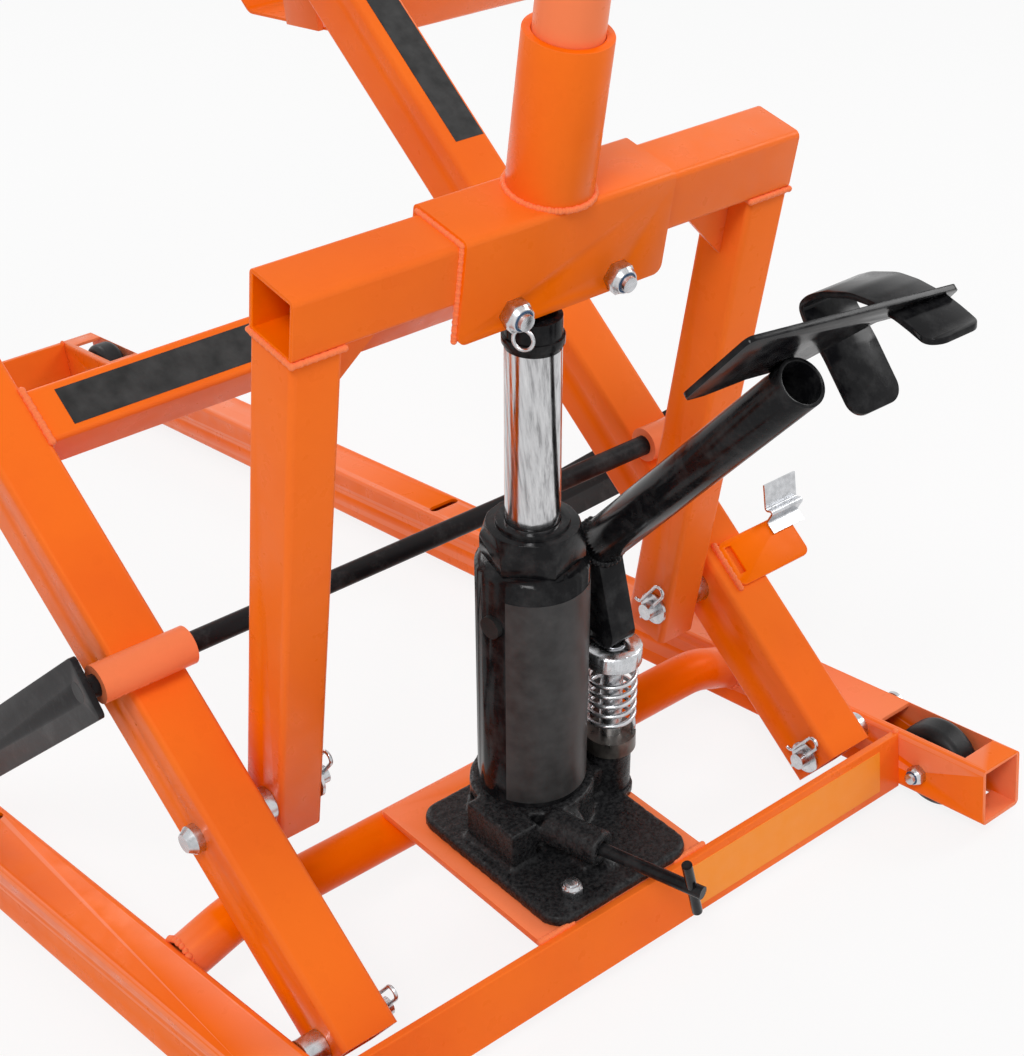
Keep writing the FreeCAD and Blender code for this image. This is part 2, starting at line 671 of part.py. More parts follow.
def make_wheel_bolts():
    pieces = []
    for side in (-1, 1):
        for start in (S.wheel_from_end, S.rail_length - S.wheel_from_end):
            outside = BASE.shifted(RAIL_OUTER * side, start, -S.wheel_drop)
            inside = BASE.shifted(S.rail_half_gap * side, start, -S.wheel_drop)
            length = S.rail_width + S.m8_nut + S.bolt_tip
            inward = ((0, 1, 0), -90 * side)
            pieces.append(bolt(S.axle_diameter, S.m8_across, S.m8_head, length, outside, inward))
            pieces.append(lock_nut(S.axle_diameter, S.m8_across, S.m8_nut, inside, inward))
    node(group(pieces), "wheel_bolts")


# Pins with a head at one end, and the clips that keep them
def headed_pin(side, frame, outer, inner, diameter, head_diameter, head_height, hole_at):
    """A pin from its head on the outside at outer to inner, with a cross hole for a clip."""
    spot = frame.shifted(outer * side, 0, 0)
    inward = ((0, 1, 0), -90 * side)
    shank = cylinder(diameter / 2, outer - inner, spot, inward)
    head_low = frame.shifted((outer + head_height * HALF) * side, 0, 0)
    head = cylinder(head_diameter / 2, head_height * HALF, head_low, inward)
    dome = cone(head_diameter * PIN_DOME_SHARE, head_diameter / 2, head_height * HALF,
                frame.shifted((outer + head_height) * side, 0, 0), inward)
    hole = cylinder(S.clip_wire / 2 + S.pin_clearance, diameter * 2,
                    frame.shifted(hole_at * side, 0, -diameter))
    return taken(together(shank, head, dome), hole)


def hairpin(side, frame, x, pin_diameter):
    """A clip of bent wire: one leg through the pin, one over it."""
    wire, leg, loop = numbers(S.clip_wire, S.clip_leg, S.clip_loop)
    low, high = -pin_diameter.value, leg
    centre_y = 2 * loop
    part_way = loop * math.sin(math.pi / 4)
    start, top = Vector(0, 0, low), Vector(0, 0, high)
    over, down = Vector(0, centre_y, high), Vector(0, centre_y, 0)
    edges = [
        Part.LineSegment(start, top).toShape(),
        Part.Arc(top, Vector(0, loop, high + loop), over).toShape(),
        Part.LineSegment(over, down).toShape(),
        Part.Arc(down, Vector(0, centre_y + loop - part_way, -part_way),
                 Vector(0, centre_y + loop, -loop)).toShape()]
    path = Part.Wire(edges)
    circle = Part.Wire(Part.Circle(Vector(0, 0, low), Vector(0, 0, 1), wire / 2).toShape())
    return shaped(path.makePipeShell([circle], True, False), frame.shifted(x * side, 0, 0))


def make_pins(name, frame, outer, gap, face, head_height):
    """Pins on both sides, with a spacer in the (outer, inner) gap and a washer and clip at the face."""
    pins, spacers, clips = [], [], []
    washer_face = face - S.side_clearance
    clip_at = washer_face - S.washer_thickness - S.clip_gap
    bore = S.pivot_pin_diameter / 2 + S.pin_clearance
    for side in (-1, 1):
        inward = ((0, 1, 0), -90 * side)
        pins.append(headed_pin(side, frame, outer, clip_at - S.pin_tip, S.pivot_pin_diameter,
                               S.pin_head_diameter, head_height, clip_at))
        spacers.append(ring(S.spacer_diameter / 2, bore, gap[0] - gap[1] - S.side_clearance,
                            frame.shifted(gap[0] * side, 0, 0), inward))
        clips.append(ring(S.washer_diameter / 2, bore, S.washer_thickness,
                          frame.shifted(washer_face * side, 0, 0), inward))
        clips.append(hairpin(side, frame, clip_at, S.pivot_pin_diameter))
    for pieces, kind in ((pins, "pins"), (spacers, "spacers"), (clips, "clips")):
        node(group(pieces), "%s_%s" % (name, kind))


def make_pivots():
    make_pins("pivot", PIVOT, RAIL_OUTER, (S.rail_half_gap, ARM_OUTER), S.arm_inner, S.pin_head_height)


def make_leg_pins():
    make_pins("leg", PIVOT.shifted(0, S.leg_pin_reach, 0), ARM_OUTER, (S.arm_inner, LEG_OUTER), S.leg_inner,
              S.leg_pin_head_height)


# The jack
def make_jack_base():
    """The cast foot: a flat flange, a round seat, a side pad, ribs, a valve boss and an ear."""
    body = new_body("jack_base")
    foot = new_sketch(body, "Foot", "XY_Plane")
    draw_box(foot, -S.foot_left, S.foot_right, -S.foot_front, S.foot_back)
    pad(body, foot, S.foot_thickness)
    round_edges(body, S.foot_corner, lambda edge: runs_along(edge, 2))
    top = S.foot_thickness.value
    round_edges(body, S.foot_edge, lambda edge: all(abs(spot.Z - top) < SAME for spot in edge.Vertexes))
    drum = new_sketch(body, "Drum", "XY_Plane")
    draw_circle(drum, 0, 0, S.drum_diameter / 2)
    pad(body, drum, S.drum_height)
    ribs = new_sketch(body, "Ribs", "YZ_Plane")
    foot_run, seat = S.foot_front - S.foot_corner, S.drum_diameter / 2
    draw_outline(ribs, [(-foot_run, S.foot_thickness), (-seat * HALF, S.foot_thickness),
                        (-seat * HALF, S.drum_height), (-seat, S.drum_height - S.drum_edge)])
    pad(body, ribs, S.rib_thickness, True)
    side = new_sketch(body, "SidePad", "XY_Plane")
    draw_box(side, -S.pad_reach, -S.pad_reach + S.pad_depth, -S.pad_front, S.pad_back)
    pad(body, side, S.drum_height)
    web = new_sketch(body, "Web", "XY_Plane")
    draw_box(web, ZERO, S.pump_side, -S.pump_lead - S.rib_thickness, -S.pump_lead + S.rib_thickness)
    pad(body, web, S.rib_height + S.foot_thickness)
    lobe = new_sketch(body, "Lobe", "XY_Plane")
    draw_circle(lobe, S.pump_side, -S.pump_lead, S.tower_diameter / 2 + S.foot_edge)
    pad(body, lobe, S.foot_thickness)
    ear = new_sketch(body, "Ear", "XY_Plane")
    draw_box(ear, S.pump_side - S.ear_width / 2, S.pump_side + S.ear_width / 2,
             -S.pump_lead + S.tower_diameter / 2 - S.foot_edge, S.ear_place + S.ear_radius)
    pad(body, ear, S.ear_height + S.ear_radius)
    drill(body, 0, [(S.ear_place, S.ear_height)], S.lever_pin_diameter / 2 + S.pin_clearance,
          2 * (S.foot_right + S.tower_diameter))
    bolts = new_sketch(body, "BoltHoles", "XY_Plane")
    for across, back in FOOT_BOLTS:
        draw_circle(bolts, across, back, S.axle_diameter / 2 + S.pin_clearance)
    cut(body, bolts, 2 * (S.foot_thickness + S.overrun), True)
    return body


# The release valve lies along the frame's -Y, turned a little to the right
VALVE_TURNS = (((0, 0, 1), S.valve_turn), TO_FRONT)


def pump_bore():
    """The room for the pump's piston, down into the casting."""
    return cylinder(S.piston_diameter / 2 + S.piston_clearance, S.tower_height,
                    PUMP.shifted(0, 0, S.piston_bottom - S.piston_stroke - S.bore_spare))


def make_valve_boss(casting):
    """The boss that the valve screws into is cast on, and bored for the valve's stem."""
    along_x, along_y = sine(S.valve_turn), cosine(S.valve_turn)
    start = JACK.shifted(S.valve_side - (S.boss_to - S.boss_from) * along_x, -S.boss_from, S.boss_height)
    boss = cylinder(S.boss_diameter / 2, (S.boss_to - S.boss_from) / along_y, start, *VALVE_TURNS)
    bore_start = JACK.shifted(S.valve_side - S.valve_inside * along_x,
                              -S.valve_lead + S.valve_inside * along_y, S.boss_height)
    bore = cylinder(S.valve_diameter / 2 + S.pin_clearance, S.valve_inside + S.overrun, bore_start,
                    *VALVE_TURNS)
    web_side = S.boss_diameter * BOSS_WEB_SHARE
    web = block((S.valve_side - web_side, S.valve_side + web_side - S.rib_thickness),
                (-S.boss_to + S.rib_thickness, -S.boss_from), (ZERO, S.boss_height), JACK)
    place(casting, JACK)
    node(taken(taken(together(casting, boss, web), bore), pump_bore()), "jack_base")


def make_jack():
    make_valve_boss(make_jack_base())
    tower = cylinder(S.tower_diameter / 2, S.tower_height - S.foot_thickness,
                     PUMP.shifted(0, 0, S.foot_thickness))
    node(taken(taken(tower, pump_bore()), casting_beside_tower()), "pump_body")
    make_cylinder()
    make_gland()
    make_plug()
    make_jack_bolts()
    make_ram()
    make_release_valve()


def casting_beside_tower():
    """The web and the ear of the casting, which the pump's tower leaves room for."""
    web = block((-S.pump_side, ZERO), (-S.rib_thickness, S.rib_thickness),
                (ZERO, S.rib_height + S.foot_thickness), PUMP)
    ear = block((-S.ear_width / 2, S.ear_width / 2), (S.tower_diameter / 2 - S.foot_edge, S.tower_diameter),
                (ZERO, S.tower_height + S.overrun), PUMP)
    return together(web, ear)


def make_cylinder():
    """The oil cylinder, drawn as a thick tube with a chamfered top."""
    shell = new_body("jack_cylinder")
    sketch = new_sketch(shell, "Section", "XZ_Plane")
    room, outer = S.ram_diameter / 2 + S.gland_bore_clearance, S.cylinder_diameter / 2
    draw_outline(sketch, [(room, S.cylinder_start), (outer, S.cylinder_start),
                          (outer, S.cylinder_end - S.cylinder_edge),
                          (outer - S.cylinder_edge, S.cylinder_end), (room, S.cylinder_end)])
    turn_round(shell, sketch, "V_Axis")
    node(place(shell, JACK), "jack_cylinder")


def make_gland():
    """A hexagonal gland nut with chamfered corners and a round rim."""
    foot = JACK.shifted(0, 0, S.cylinder_end)
    nut = hexagon(S.gland_across, S.gland_height, foot, ((0, 0, 1), S.gland_turn))
    chamfer = cone(S.gland_foot_radius, S.gland_top_radius, S.gland_height, foot)
    rim = cylinder(S.gland_rim_diameter / 2, S.gland_rim_height, foot.shifted(0, 0, S.gland_height))
    hole = cylinder(S.ram_diameter / 2 + S.gland_bore_clearance,
                    S.gland_height + S.gland_rim_height + 2 * S.overrun, foot.shifted(0, 0, -S.overrun))
    node(taken(together(shared(nut, chamfer), rim), hole), "jack_gland")


def make_plug():
    """The filler plug's head, on the side of the cylinder."""
    outer = S.cylinder_diameter / 2
    level = S.cylinder_end - S.plug_below_top
    stem = cylinder(S.plug_diameter / 2, outer + S.plug_height, JACK.shifted(0, 0, level),
                    ((0, 0, 1), S.plug_turn), TO_FRONT)
    inside = cylinder(outer, S.plug_below_top * 2, JACK.shifted(0, 0, level - S.plug_below_top))
    node(taken(stem, inside), "jack_plug")


def make_jack_bolts():
    pieces = []
    for across, back in FOOT_BOLTS:
        under = JACK.shifted(across, back, -S.plate_thickness)
        top = JACK.shifted(across, back, S.foot_thickness)
        length = S.plate_thickness + S.foot_thickness + S.m8_nut + S.foot_bolt_tip
        pieces.append(bolt(S.axle_diameter, S.m8_across, S.m8_head, length, under))
        pieces.append(lock_nut(S.axle_diameter, S.m8_across, S.m8_nut, top))
    node(group(pieces), "jack_bolts")


def make_ram():
    rod_top = S.ram_top - S.head_height
    rod = cylinder(S.ram_diameter / 2, rod_top - S.ram_bottom, JACK.shifted(0, 0, S.ram_bottom))
    node(rod, "ram_rod")
    shoulder = cylinder(S.ram_diameter / 2, S.head_height - S.tang_height, JACK.shifted(0, 0, rod_top))
    ring_at = JACK.shifted(0, 0, S.ram_top - S.ring_below_top)
    collar = cylinder(S.ring_diameter / 2, S.ring_height, ring_at)
    tang = block((-S.tang_half_width, S.tang_half_width), (-S.tang_front, S.tang_back),
                 (S.ram_top - S.tang_height, S.ram_top), JACK)
    node(together(shoulder, collar, tang), "ram_head")


def make_release_valve():
    """A stem screwed into the casting, with a turning bar through its end."""
    along_x, along_y = sine(S.valve_turn), cosine(S.valve_turn)
    start = JACK.shifted(S.valve_side - S.valve_inside * along_x, -S.valve_lead + S.valve_inside * along_y,
                         S.boss_height)
    stem = cylinder(S.valve_diameter / 2, S.valve_inside + S.valve_length, start, *VALVE_TURNS)
    reach = S.valve_length - S.valve_bar_from_end
    middle = JACK.shifted(S.valve_side + reach * along_x, -S.valve_lead - reach * along_y, S.boss_height)
    tilt = ((0, 0, 1), S.valve_bar_tilt)
    rod = document.addObject("Part::Cylinder", "Bar")
    bind(rod, Radius=S.valve_bar_diameter / 2, Height=S.valve_bar_length)
    rod.setExpression("Placement", "placement(vector(0; %s; 0); rotation(vector(1; 0; 0); -90))"
                      % (-S.valve_bar_length / 2).text)
    bar = group([rod])
    place(bar, middle, *VALVE_TURNS, tilt)
    node(together(stem, bar), "release_valve")


# The pump
def make_pump():
    collar_low = PUMP.shifted(0, 0, S.tower_height)
    collar = cone(S.collar_diameter / 2, S.collar_top_diameter / 2, S.collar_height, collar_low)
    hole = cylinder(S.piston_diameter / 2 + S.piston_clearance, S.collar_height + 2 * S.overrun,
                    collar_low.shifted(0, 0, -S.overrun))
    node(taken(collar, hole), "pump_collar")
    piston = cylinder(S.piston_diameter / 2, S.piston_top - S.piston_bottom,
                      PUMP.shifted(0, 0, S.piston_bottom))
    node(piston, "pump_piston")
    cap = new_body("pump_cap")
    sketch = new_sketch(cap, "Section", "XZ_Plane")
    radius, crown = S.cap_diameter / 2, S.cap_crown
    draw_outline(sketch, [(S.piston_diameter / 2, S.cap_bottom), (radius, S.cap_bottom),
                          (radius, S.cap_bottom + S.cap_height - crown),
                          (radius - crown, S.cap_bottom + S.cap_height),
                          (S.piston_diameter / 2, S.cap_bottom + S.cap_height)])
    turn_round(cap, sketch, "V_Axis")
    node(place(cap, PUMP), "pump_cap")
    make_spring()
    make_links()


def biarc(start, start_way, end, end_way):
    """Two tangent arcs from one point and direction to another."""
    gap = end - start
    both = start_way + end_way
    a = 2 * (1 - start_way.dot(end_way))
    b = 2 * gap.dot(both)
    c = -gap.dot(gap)
    reach = -c / b if abs(a) < SAME else (-b + math.sqrt(b * b - 4 * a * c)) / (2 * a)
    joint = (start + start_way * reach + end - end_way * reach) / 2
    edges = []
    for first, way, last in ((start, start_way, joint), (end, end_way * -1, joint)):
        chord = last - first
        side = chord - way * chord.dot(way)
        radius = chord.dot(chord) / (2 * side.Length)
        centre = first + side.normalize() * radius
        middle = centre + ((first + last) / 2 - centre).normalize() * radius
        ends = (first, middle, last) if first is start else (last, middle, first)
        edges.append(Part.Arc(*ends).toShape())
    return edges


def spring_spot(radius, bottom, rise, step):
    """The wire's middle after a number of quarter turns, and the way that it runs there."""
    quarter = math.radians(90)
    angle = quarter * step
    spot = Vector(radius * math.cos(angle), radius * math.sin(angle), bottom + rise * step)
    way = Vector(-radius * quarter * math.sin(angle), radius * quarter * math.cos(angle), rise).normalize()
    return spot, way


def make_spring():
    """One wire from a short upright end on the collar, round and up, to one under the cap."""
    wire, coils, outside, clearance = numbers(S.spring_wire, S.spring_coils, S.spring_diameter,
                                              S.spring_seat_clearance)
    seat, under = numbers(S.tower_height + S.collar_height, S.cap_bottom)
    radius = (outside - wire) / 2
    low, high = seat + clearance + wire, under - clearance - wire
    steps = round(coils * QUARTERS_IN_TURN)
    bottom = low + 2 * wire
    rise = (high - 2 * wire - bottom) / steps
    spots = [spring_spot(radius, bottom, rise, step) for step in range(steps + 1)]
    up = Vector(0, 0, 1)
    foot = spring_spot(radius, low, 0, -SPRING_LEAD_SHARE)[0]
    head = spring_spot(radius, high, 0, steps + SPRING_LEAD_SHARE)[0]
    edges = [Part.LineSegment(foot - up * wire, foot).toShape()]
    edges += biarc(foot, up, *spots[0])
    for (spot, way), (after, after_way) in zip(spots, spots[1:]):
        edges += biarc(spot, way, after, after_way)
    edges += biarc(*spots[-1], head, up)
    edges.append(Part.LineSegment(head, head + up * wire).toShape())
    path = Part.Wire(edges)
    circle = Part.Wire(Part.Circle(foot - up * wire, up, wire / 2).toShape())
    print_least_gap(path, wire, 2 * math.pi * radius)
    node(shaped(path.makePipeShell([circle], True, False), PUMP), "pump_spring")


def print_least_gap(path, wire, turn_length):
    """Prints the least gap between different turns of the wire."""
    spots = path.discretize(Number=round(GAP_SAMPLES))
    apart = int(GAP_SAMPLES * turn_length * HALF / path.Length)
    least = min((one - other).Length for index, one in enumerate(spots) for other in spots[index + apart:])
    print("spring: least gap to itself %.2f mm" % (least - wire))


def make_links():
    """Two straps from the casting's ear to the pedal's pivot, with a bolt through the ear."""
    pieces = []
    low = PUMP.shifted(0, S.ear_place + S.pump_lead, S.ear_height)
    offset_back = S.lever_back - S.ear_place - S.pump_lead
    length = S.lever_rise - S.ear_height
    for side in (-1, 1):
        body = new_body("pump_link")
        sketch = new_sketch(body, "Strap", "YZ_Plane")
        half = S.link_width / 2
        draw_outline(sketch, [(-half, -half), (half, -half), (offset_back + half, length + half),
                              (offset_back - half, length + half)])
        pad(body, sketch, S.link_thickness, True)
        round_edges(body, half * LINK_END_SHARE, lambda edge: runs_along(edge, 0))
        drill(body, 0, [(0, 0), (offset_back, length)], S.lever_pin_diameter / 2 + S.pin_clearance,
              2 * S.link_thickness)
        pieces.append(place(body, low.shifted((S.link_spread + S.link_thickness / 2) * side, 0, 0)))
    reach = S.link_spread + S.link_thickness
    for frame in (low, LEVER):
        shank = cylinder(S.lever_pin_diameter / 2, 2 * reach, frame.shifted(-reach, 0, 0), ALONG_X)
        head = cylinder(S.lever_pin_head / 2, S.lever_pin_head_height, frame.shifted(reach, 0, 0), ALONG_X)
        pieces.append(together(shank, head))
    node(group(pieces), "pump_links")


# The pedal
def make_pedal():
    body = new_body("pedal_fork")
    sketch = new_sketch(body, "Forging", "YZ_Plane")
    nose = PUMP.point(0, S.lever_back - S.nose_forward, S.lever_rise + S.nose_rise)
    nose_y, nose_z = nose[1] - LEVER.y, nose[2] - LEVER.z
    along_y, along_z = cosine(S.socket_tilt), sine(S.socket_tilt)
    root_y = -S.socket_forward + S.socket_length * along_y
    root_z = S.socket_rise - S.socket_length * along_z
    half = S.socket_diameter / 2
    upper = (root_y + half * along_z, root_z + half * along_y)
    lower = (root_y - half * along_z, root_z - half * along_y)
    nose_v = S.lever_back - S.nose_forward
    low_s = S.lever_rise + S.nose_rise - S.nose_radius
    low = PUMP.point(0, nose_v, low_s)
    heel = PUMP.point(0, nose_v + S.cap_diameter / 2 + S.heel_clearance, low_s)
    tip = S.eye_radius * FORK_TIP_SHARE
    draw_outline(sketch, [
        (nose_y - S.nose_radius, nose_z), (low[1] - LEVER.y, low[2] - LEVER.z),
        (heel[1] - LEVER.y, heel[2] - LEVER.z), (tip, -S.eye_radius + tip), (S.eye_radius - tip, tip),
        upper, lower])
    pad(body, sketch, S.fork_width, True)
    ends = new_sketch(body, "Ends", "YZ_Plane")
    draw_circle(ends, nose_y, nose_z, S.nose_radius)
    draw_circle(ends, 0, 0, S.eye_radius)
    pad(body, ends, S.fork_width, True)
    drill(body, 0, [(0, 0)], S.lever_pin_diameter / 2 + S.pin_clearance, 2 * S.fork_width)
    node(place(body, LEVER), "pedal_fork")
    make_socket()
    make_tread()


def make_socket():
    """The open tube for a long foot bar, cut back where the tread lies on it."""
    outer = cylinder(S.socket_diameter / 2, S.socket_length, MOUTH, ALONG_Y)
    inner = cylinder(S.socket_diameter / 2 - S.socket_wall, S.socket_length - S.socket_wall, MOUTH, ALONG_Y)
    tube = taken(outer, inner)
    slab = document.addObject("Part::Box", "AboveTread")
    bind(slab, Length=S.tread_width, Width=S.tread_depth, Height=S.tread_thickness + S.overrun)
    slab.setExpression("Placement", "placement(vector(0; 0; %s); rotation(vector(1; 0; 0); 0))"
                       % (-S.tread_thickness).text)
    above = group([slab])
    place(above, TREAD, *TREAD_TURNS)
    node(taken(tube, above), "pedal_socket")


def make_tread():
    """The tilted foot plate: broad over the socket, with a bar to the right that the strap goes through."""
    body = new_body("pedal_plate")
    sketch = new_sketch(body, "Plate", "XY_Plane")
    draw_outline(sketch, [
        (ZERO, ZERO), (S.tread_width, ZERO), (S.tread_width, S.tread_bar_depth),
        (S.tread_main, S.tread_bar_depth), (S.tread_root_right, S.tread_root_depth),
        (S.tread_root_left, S.tread_root_depth), (S.tread_tip, S.tread_depth), (-S.tread_tip, S.tread_depth)])
    pad(body, sketch, S.tread_thickness, False, True)
    round_edges(body, S.tread_end_radius, lambda edge: runs_along(edge, 2))
    node(taken(place(body, TREAD, *TREAD_TURNS), make_strap()), "pedal_plate")


def make_strap():
    """A bent strap with round corners, through a slot in the tread's bar."""
    width, thickness, bend, corner = numbers(S.strap_width, S.strap_thickness, S.strap_bend, S.strap_corner)
    points = [(back * width, rise * width) for back, rise in STRAP_SHARES]
    solid = bent_strip(points, thickness, bend).extrude(Vector(width, 0, 0))
    corners = [edge for edge in solid.Edges if abs(edge.Length - thickness) < STRAIGHT]
    frame = Frame(TREAD.x + S.tread_main + S.strap_side, TREAD.y + S.strap_back, TREAD.z - S.strap_drop)
    strap = shaped(solid.makeFillet(corner, corners), frame)
    node(strap, "pedal_strap")
    return strap


# The lifting frame
def make_arm(name, side):
    middle = (S.arm_inner + S.arm_width / 2) * side
    half = S.arm_width / 2
    body = box_tube(name, 1, (middle - half, middle + half), (-S.arm_depth / 2, S.arm_depth / 2),
                    S.arm_wall, S.arm_corner, S.arm_foot + S.arm_reach)
    drill(body, 0, [(S.arm_foot, 0), (S.arm_foot + S.leg_pin_reach, 0)],
          S.pivot_pin_diameter / 2 + S.pin_clearance, 2 * (ARM_OUTER + S.overrun))
    node(place(body, PIVOT.shifted(0, -S.arm_foot, 0)), name)


def make_lift():
    for name, side in SIDES:
        make_arm(name + "_arm", side)
    top = S.arm_depth / 2
    cross = box_tube("front_cross_tube", 0, (S.cross_start, S.cross_start + S.cross_side),
                     (top - S.cross_side, top), S.cross_wall, S.cross_corner, 2 * S.arm_inner, True)
    node(place(cross, PIVOT), "front_cross_tube")
    upper = box_tube("top_cross_tube", 0, (S.arm_reach - S.top_side, S.arm_reach), (top, top + S.top_side),
                     S.top_wall, S.top_corner, 2 * S.top_half_length, True)
    node(place(upper, PIVOT), "top_cross_tube")
    rod_frame = PIVOT.shifted(0, S.rod_place, S.arm_depth / 2 + S.bushing_diameter / 2)
    bushings = [ring(S.bushing_diameter / 2, S.rod_diameter / 2 + S.rod_clearance,
                     S.bushing_end - S.bushing_start, rod_frame.shifted(start, 0, 0), ALONG_X)
                for start in (S.bushing_start, -S.bushing_end)]
    node(group(bushings), "rod_bushings")
    make_clip_bracket()


def make_clip_bracket():
    """A slotted tab on the right arm with a spring leaf that parks the lock bar."""
    body = new_body("clip_bracket")
    sketch = new_sketch(body, "Tab", "XY_Plane")
    left = S.bracket_side
    end = S.bracket_start + S.bracket_length
    draw_box(sketch, left, left + S.bracket_width, S.bracket_start, end)
    pad(body, sketch, S.bracket_thickness)
    round_edges(body, S.bracket_thickness * 2, lambda edge: runs_along(edge, 2))
    slot = new_sketch(body, "Slot", "XY_Plane")
    slot_left = left + S.bracket_slot_side
    draw_box(slot, slot_left, slot_left + S.bracket_slot_width,
             end - S.bracket_slot_length - S.bracket_slot_side, end - S.bracket_slot_side)
    cut(body, slot, 2 * (S.bracket_thickness + S.overrun), True)
    node(place(body, PIVOT.shifted(0, 0, S.arm_depth / 2)), "clip_bracket")
    make_leaf()


def make_leaf():
    """A bent leaf on the tab: a ridge, a dip and a flared lip, for the lock bar to snap into."""
    reach, rise, thickness, bend, length = numbers(S.leaf_reach, S.leaf_rise, S.leaf_thickness, S.leaf_bend,
                                                   S.leaf_length)
    points = [(across * reach, up * rise) for across, up in LEAF_SHARES]
    solid = bent_strip(points, thickness, bend).extrude(Vector(length, 0, 0))
    solid.rotate(Vector(), Vector(0, 0, 1), -90)
    rear_end = S.bracket_start + (S.bracket_length + S.leaf_length) / 2
    spot = PIVOT.shifted(S.bracket_side + S.leaf_side, rear_end,
                         S.arm_depth / 2 + S.bracket_thickness + S.leaf_thickness / 2)
    node(shaped(solid, spot), "spring_clip")


# The lock bar
def make_lock():
    rod = cylinder(S.rod_diameter / 2, 2 * (S.lock_plate_side + S.lock_plate_thickness),
                   ROD.shifted(-S.lock_plate_side - S.lock_plate_thickness, 0, 0), ALONG_X)
    node(rod, "lock_rod")
    for name, side in SIDES:
        body = new_body(name + "_lock_plate")
        sketch = new_sketch(body, "Plate", "YZ_Plane")
        draw_outline(sketch, [
            (-S.lock_back, -S.lock_lower), (S.lock_run, -S.lock_lower), (S.lock_nose_run, -S.lock_nose_low),
            (S.lock_nose_run + S.lock_nose_low, S.lock_nose_high), (S.lock_shoulder_run, S.lock_upper),
            (-S.lock_back, S.lock_upper)])
        pad(body, sketch, S.lock_plate_thickness, True)
        round_edges(body, S.lock_foot_length * HALF, lambda edge: runs_along(edge, 0))
        drill(body, 0, [(0, 0)], S.rod_diameter / 2, 2 * S.lock_plate_thickness)
        foot = new_sketch(body, "Foot", "YZ_Plane")
        draw_box(foot, S.lock_foot_start, S.lock_foot_start + S.lock_foot_length,
                 -S.lock_foot_low, S.lock_foot_high)
        pad(body, foot, S.lock_foot_width, True)
        middle = (S.lock_plate_side + S.lock_plate_thickness / 2) * side
        node(place(body, ROD.shifted(middle, 0, 0)), name + "_lock_plate")


# The yoke
def make_yoke():
    back = S.leg_depth - S.leg_front
    for name, side in SIDES:
        middle = (S.leg_inner + S.leg_width / 2) * side
        half = S.leg_width / 2
        body = box_tube(name + "_yoke_leg", 2, (middle - half, middle + half), (-S.leg_front, back),
                        S.leg_wall, S.leg_corner, S.leg_foot + S.leg_top)
        drill(body, 0, [(0, S.leg_foot)], S.pivot_pin_diameter / 2 + S.pin_clearance,
              2 * (LEG_OUTER + S.overrun))
        node(place(body, LEG_PIN.shifted(0, 0, -S.leg_foot)), name + "_yoke_leg")
    beam = box_tube("yoke_beam", 0, (BEAM_MIDDLE - S.beam_side / 2, BEAM_MIDDLE + S.beam_side / 2),
                    (S.leg_top, S.leg_top + S.beam_side), S.beam_wall, S.beam_corner, 2 * LEG_OUTER, True)
    pieces = [place(beam, LEG_PIN)]
    for side in (-1, 1):
        body = new_body("yoke_gusset")
        sketch = new_sketch(body, "Gusset", "XZ_Plane")
        draw_outline(sketch, [(S.leg_inner * side, S.leg_top),
                              ((S.leg_inner - S.gusset_side) * side, S.leg_top),
                              (S.leg_inner * side, S.leg_top - S.gusset_side)])
        pad(body, sketch, S.gusset_thickness, True)
        pieces.append(place(body, LEG_PIN.shifted(0, BEAM_MIDDLE, 0)))
    node(group(pieces), "yoke_beam")
    make_saddle()
    make_handle()


def make_saddle():
    """An upside down channel over the beam, which traps the ram's head between its flanges."""
    body = new_body("saddle_bracket")
    sketch = new_sketch(body, "Channel", "YZ_Plane")
    half = S.beam_side / 2
    thick = S.saddle_thickness
    top, low = S.leg_top + S.beam_side, S.leg_top - S.saddle_drop
    front, rear = BEAM_MIDDLE - half, BEAM_MIDDLE + half
    draw_outline(sketch, [(front - thick, low), (front, low), (front, top), (rear, top), (rear, low),
                          (rear + thick, low), (rear + thick, top + thick), (front - thick, top + thick)])
    pad(body, sketch, 2 * S.saddle_half_length, True)
    outer_level = (top + thick).value
    round_edges(body, thick, lambda edge: runs_along(edge, 0)
                and abs(edge.Vertexes[0].Z - outer_level) < STRAIGHT)
    low_level = low.value
    round_edges(body, S.saddle_corner, lambda edge: runs_along(edge, 1)
                and abs(edge.Vertexes[0].Z - low_level) < STRAIGHT)
    bolt_up = S.leg_top - S.saddle_bolt_drop
    drill(body, 1, [(-S.saddle_bolt_side, bolt_up), (S.saddle_bolt_side, bolt_up)],
          S.m10_diameter / 2 + S.pin_clearance, 4 * S.beam_side)
    node(place(body, LEG_PIN), "saddle_bracket")
    make_saddle_bolts(front - thick, rear + thick, bolt_up)


def make_saddle_bolts(front, rear, up):
    """Two bolts through the saddle's flanges, with their nuts at the front."""
    pieces = []
    for side in (-1, 1):
        rear_spot = LEG_PIN.shifted(S.saddle_bolt_side * side, rear, up)
        front_spot = LEG_PIN.shifted(S.saddle_bolt_side * side, front, up)
        length = rear - front + S.m10_nut + S.bolt_tip
        pieces.append(bolt(S.m10_diameter, S.m10_across, S.m10_head, length, rear_spot, TO_FRONT))
        pieces.append(lock_nut(S.m10_diameter, S.m10_across, S.m10_nut, front_spot, TO_FRONT))
    node(group(pieces), "saddle_bolts")


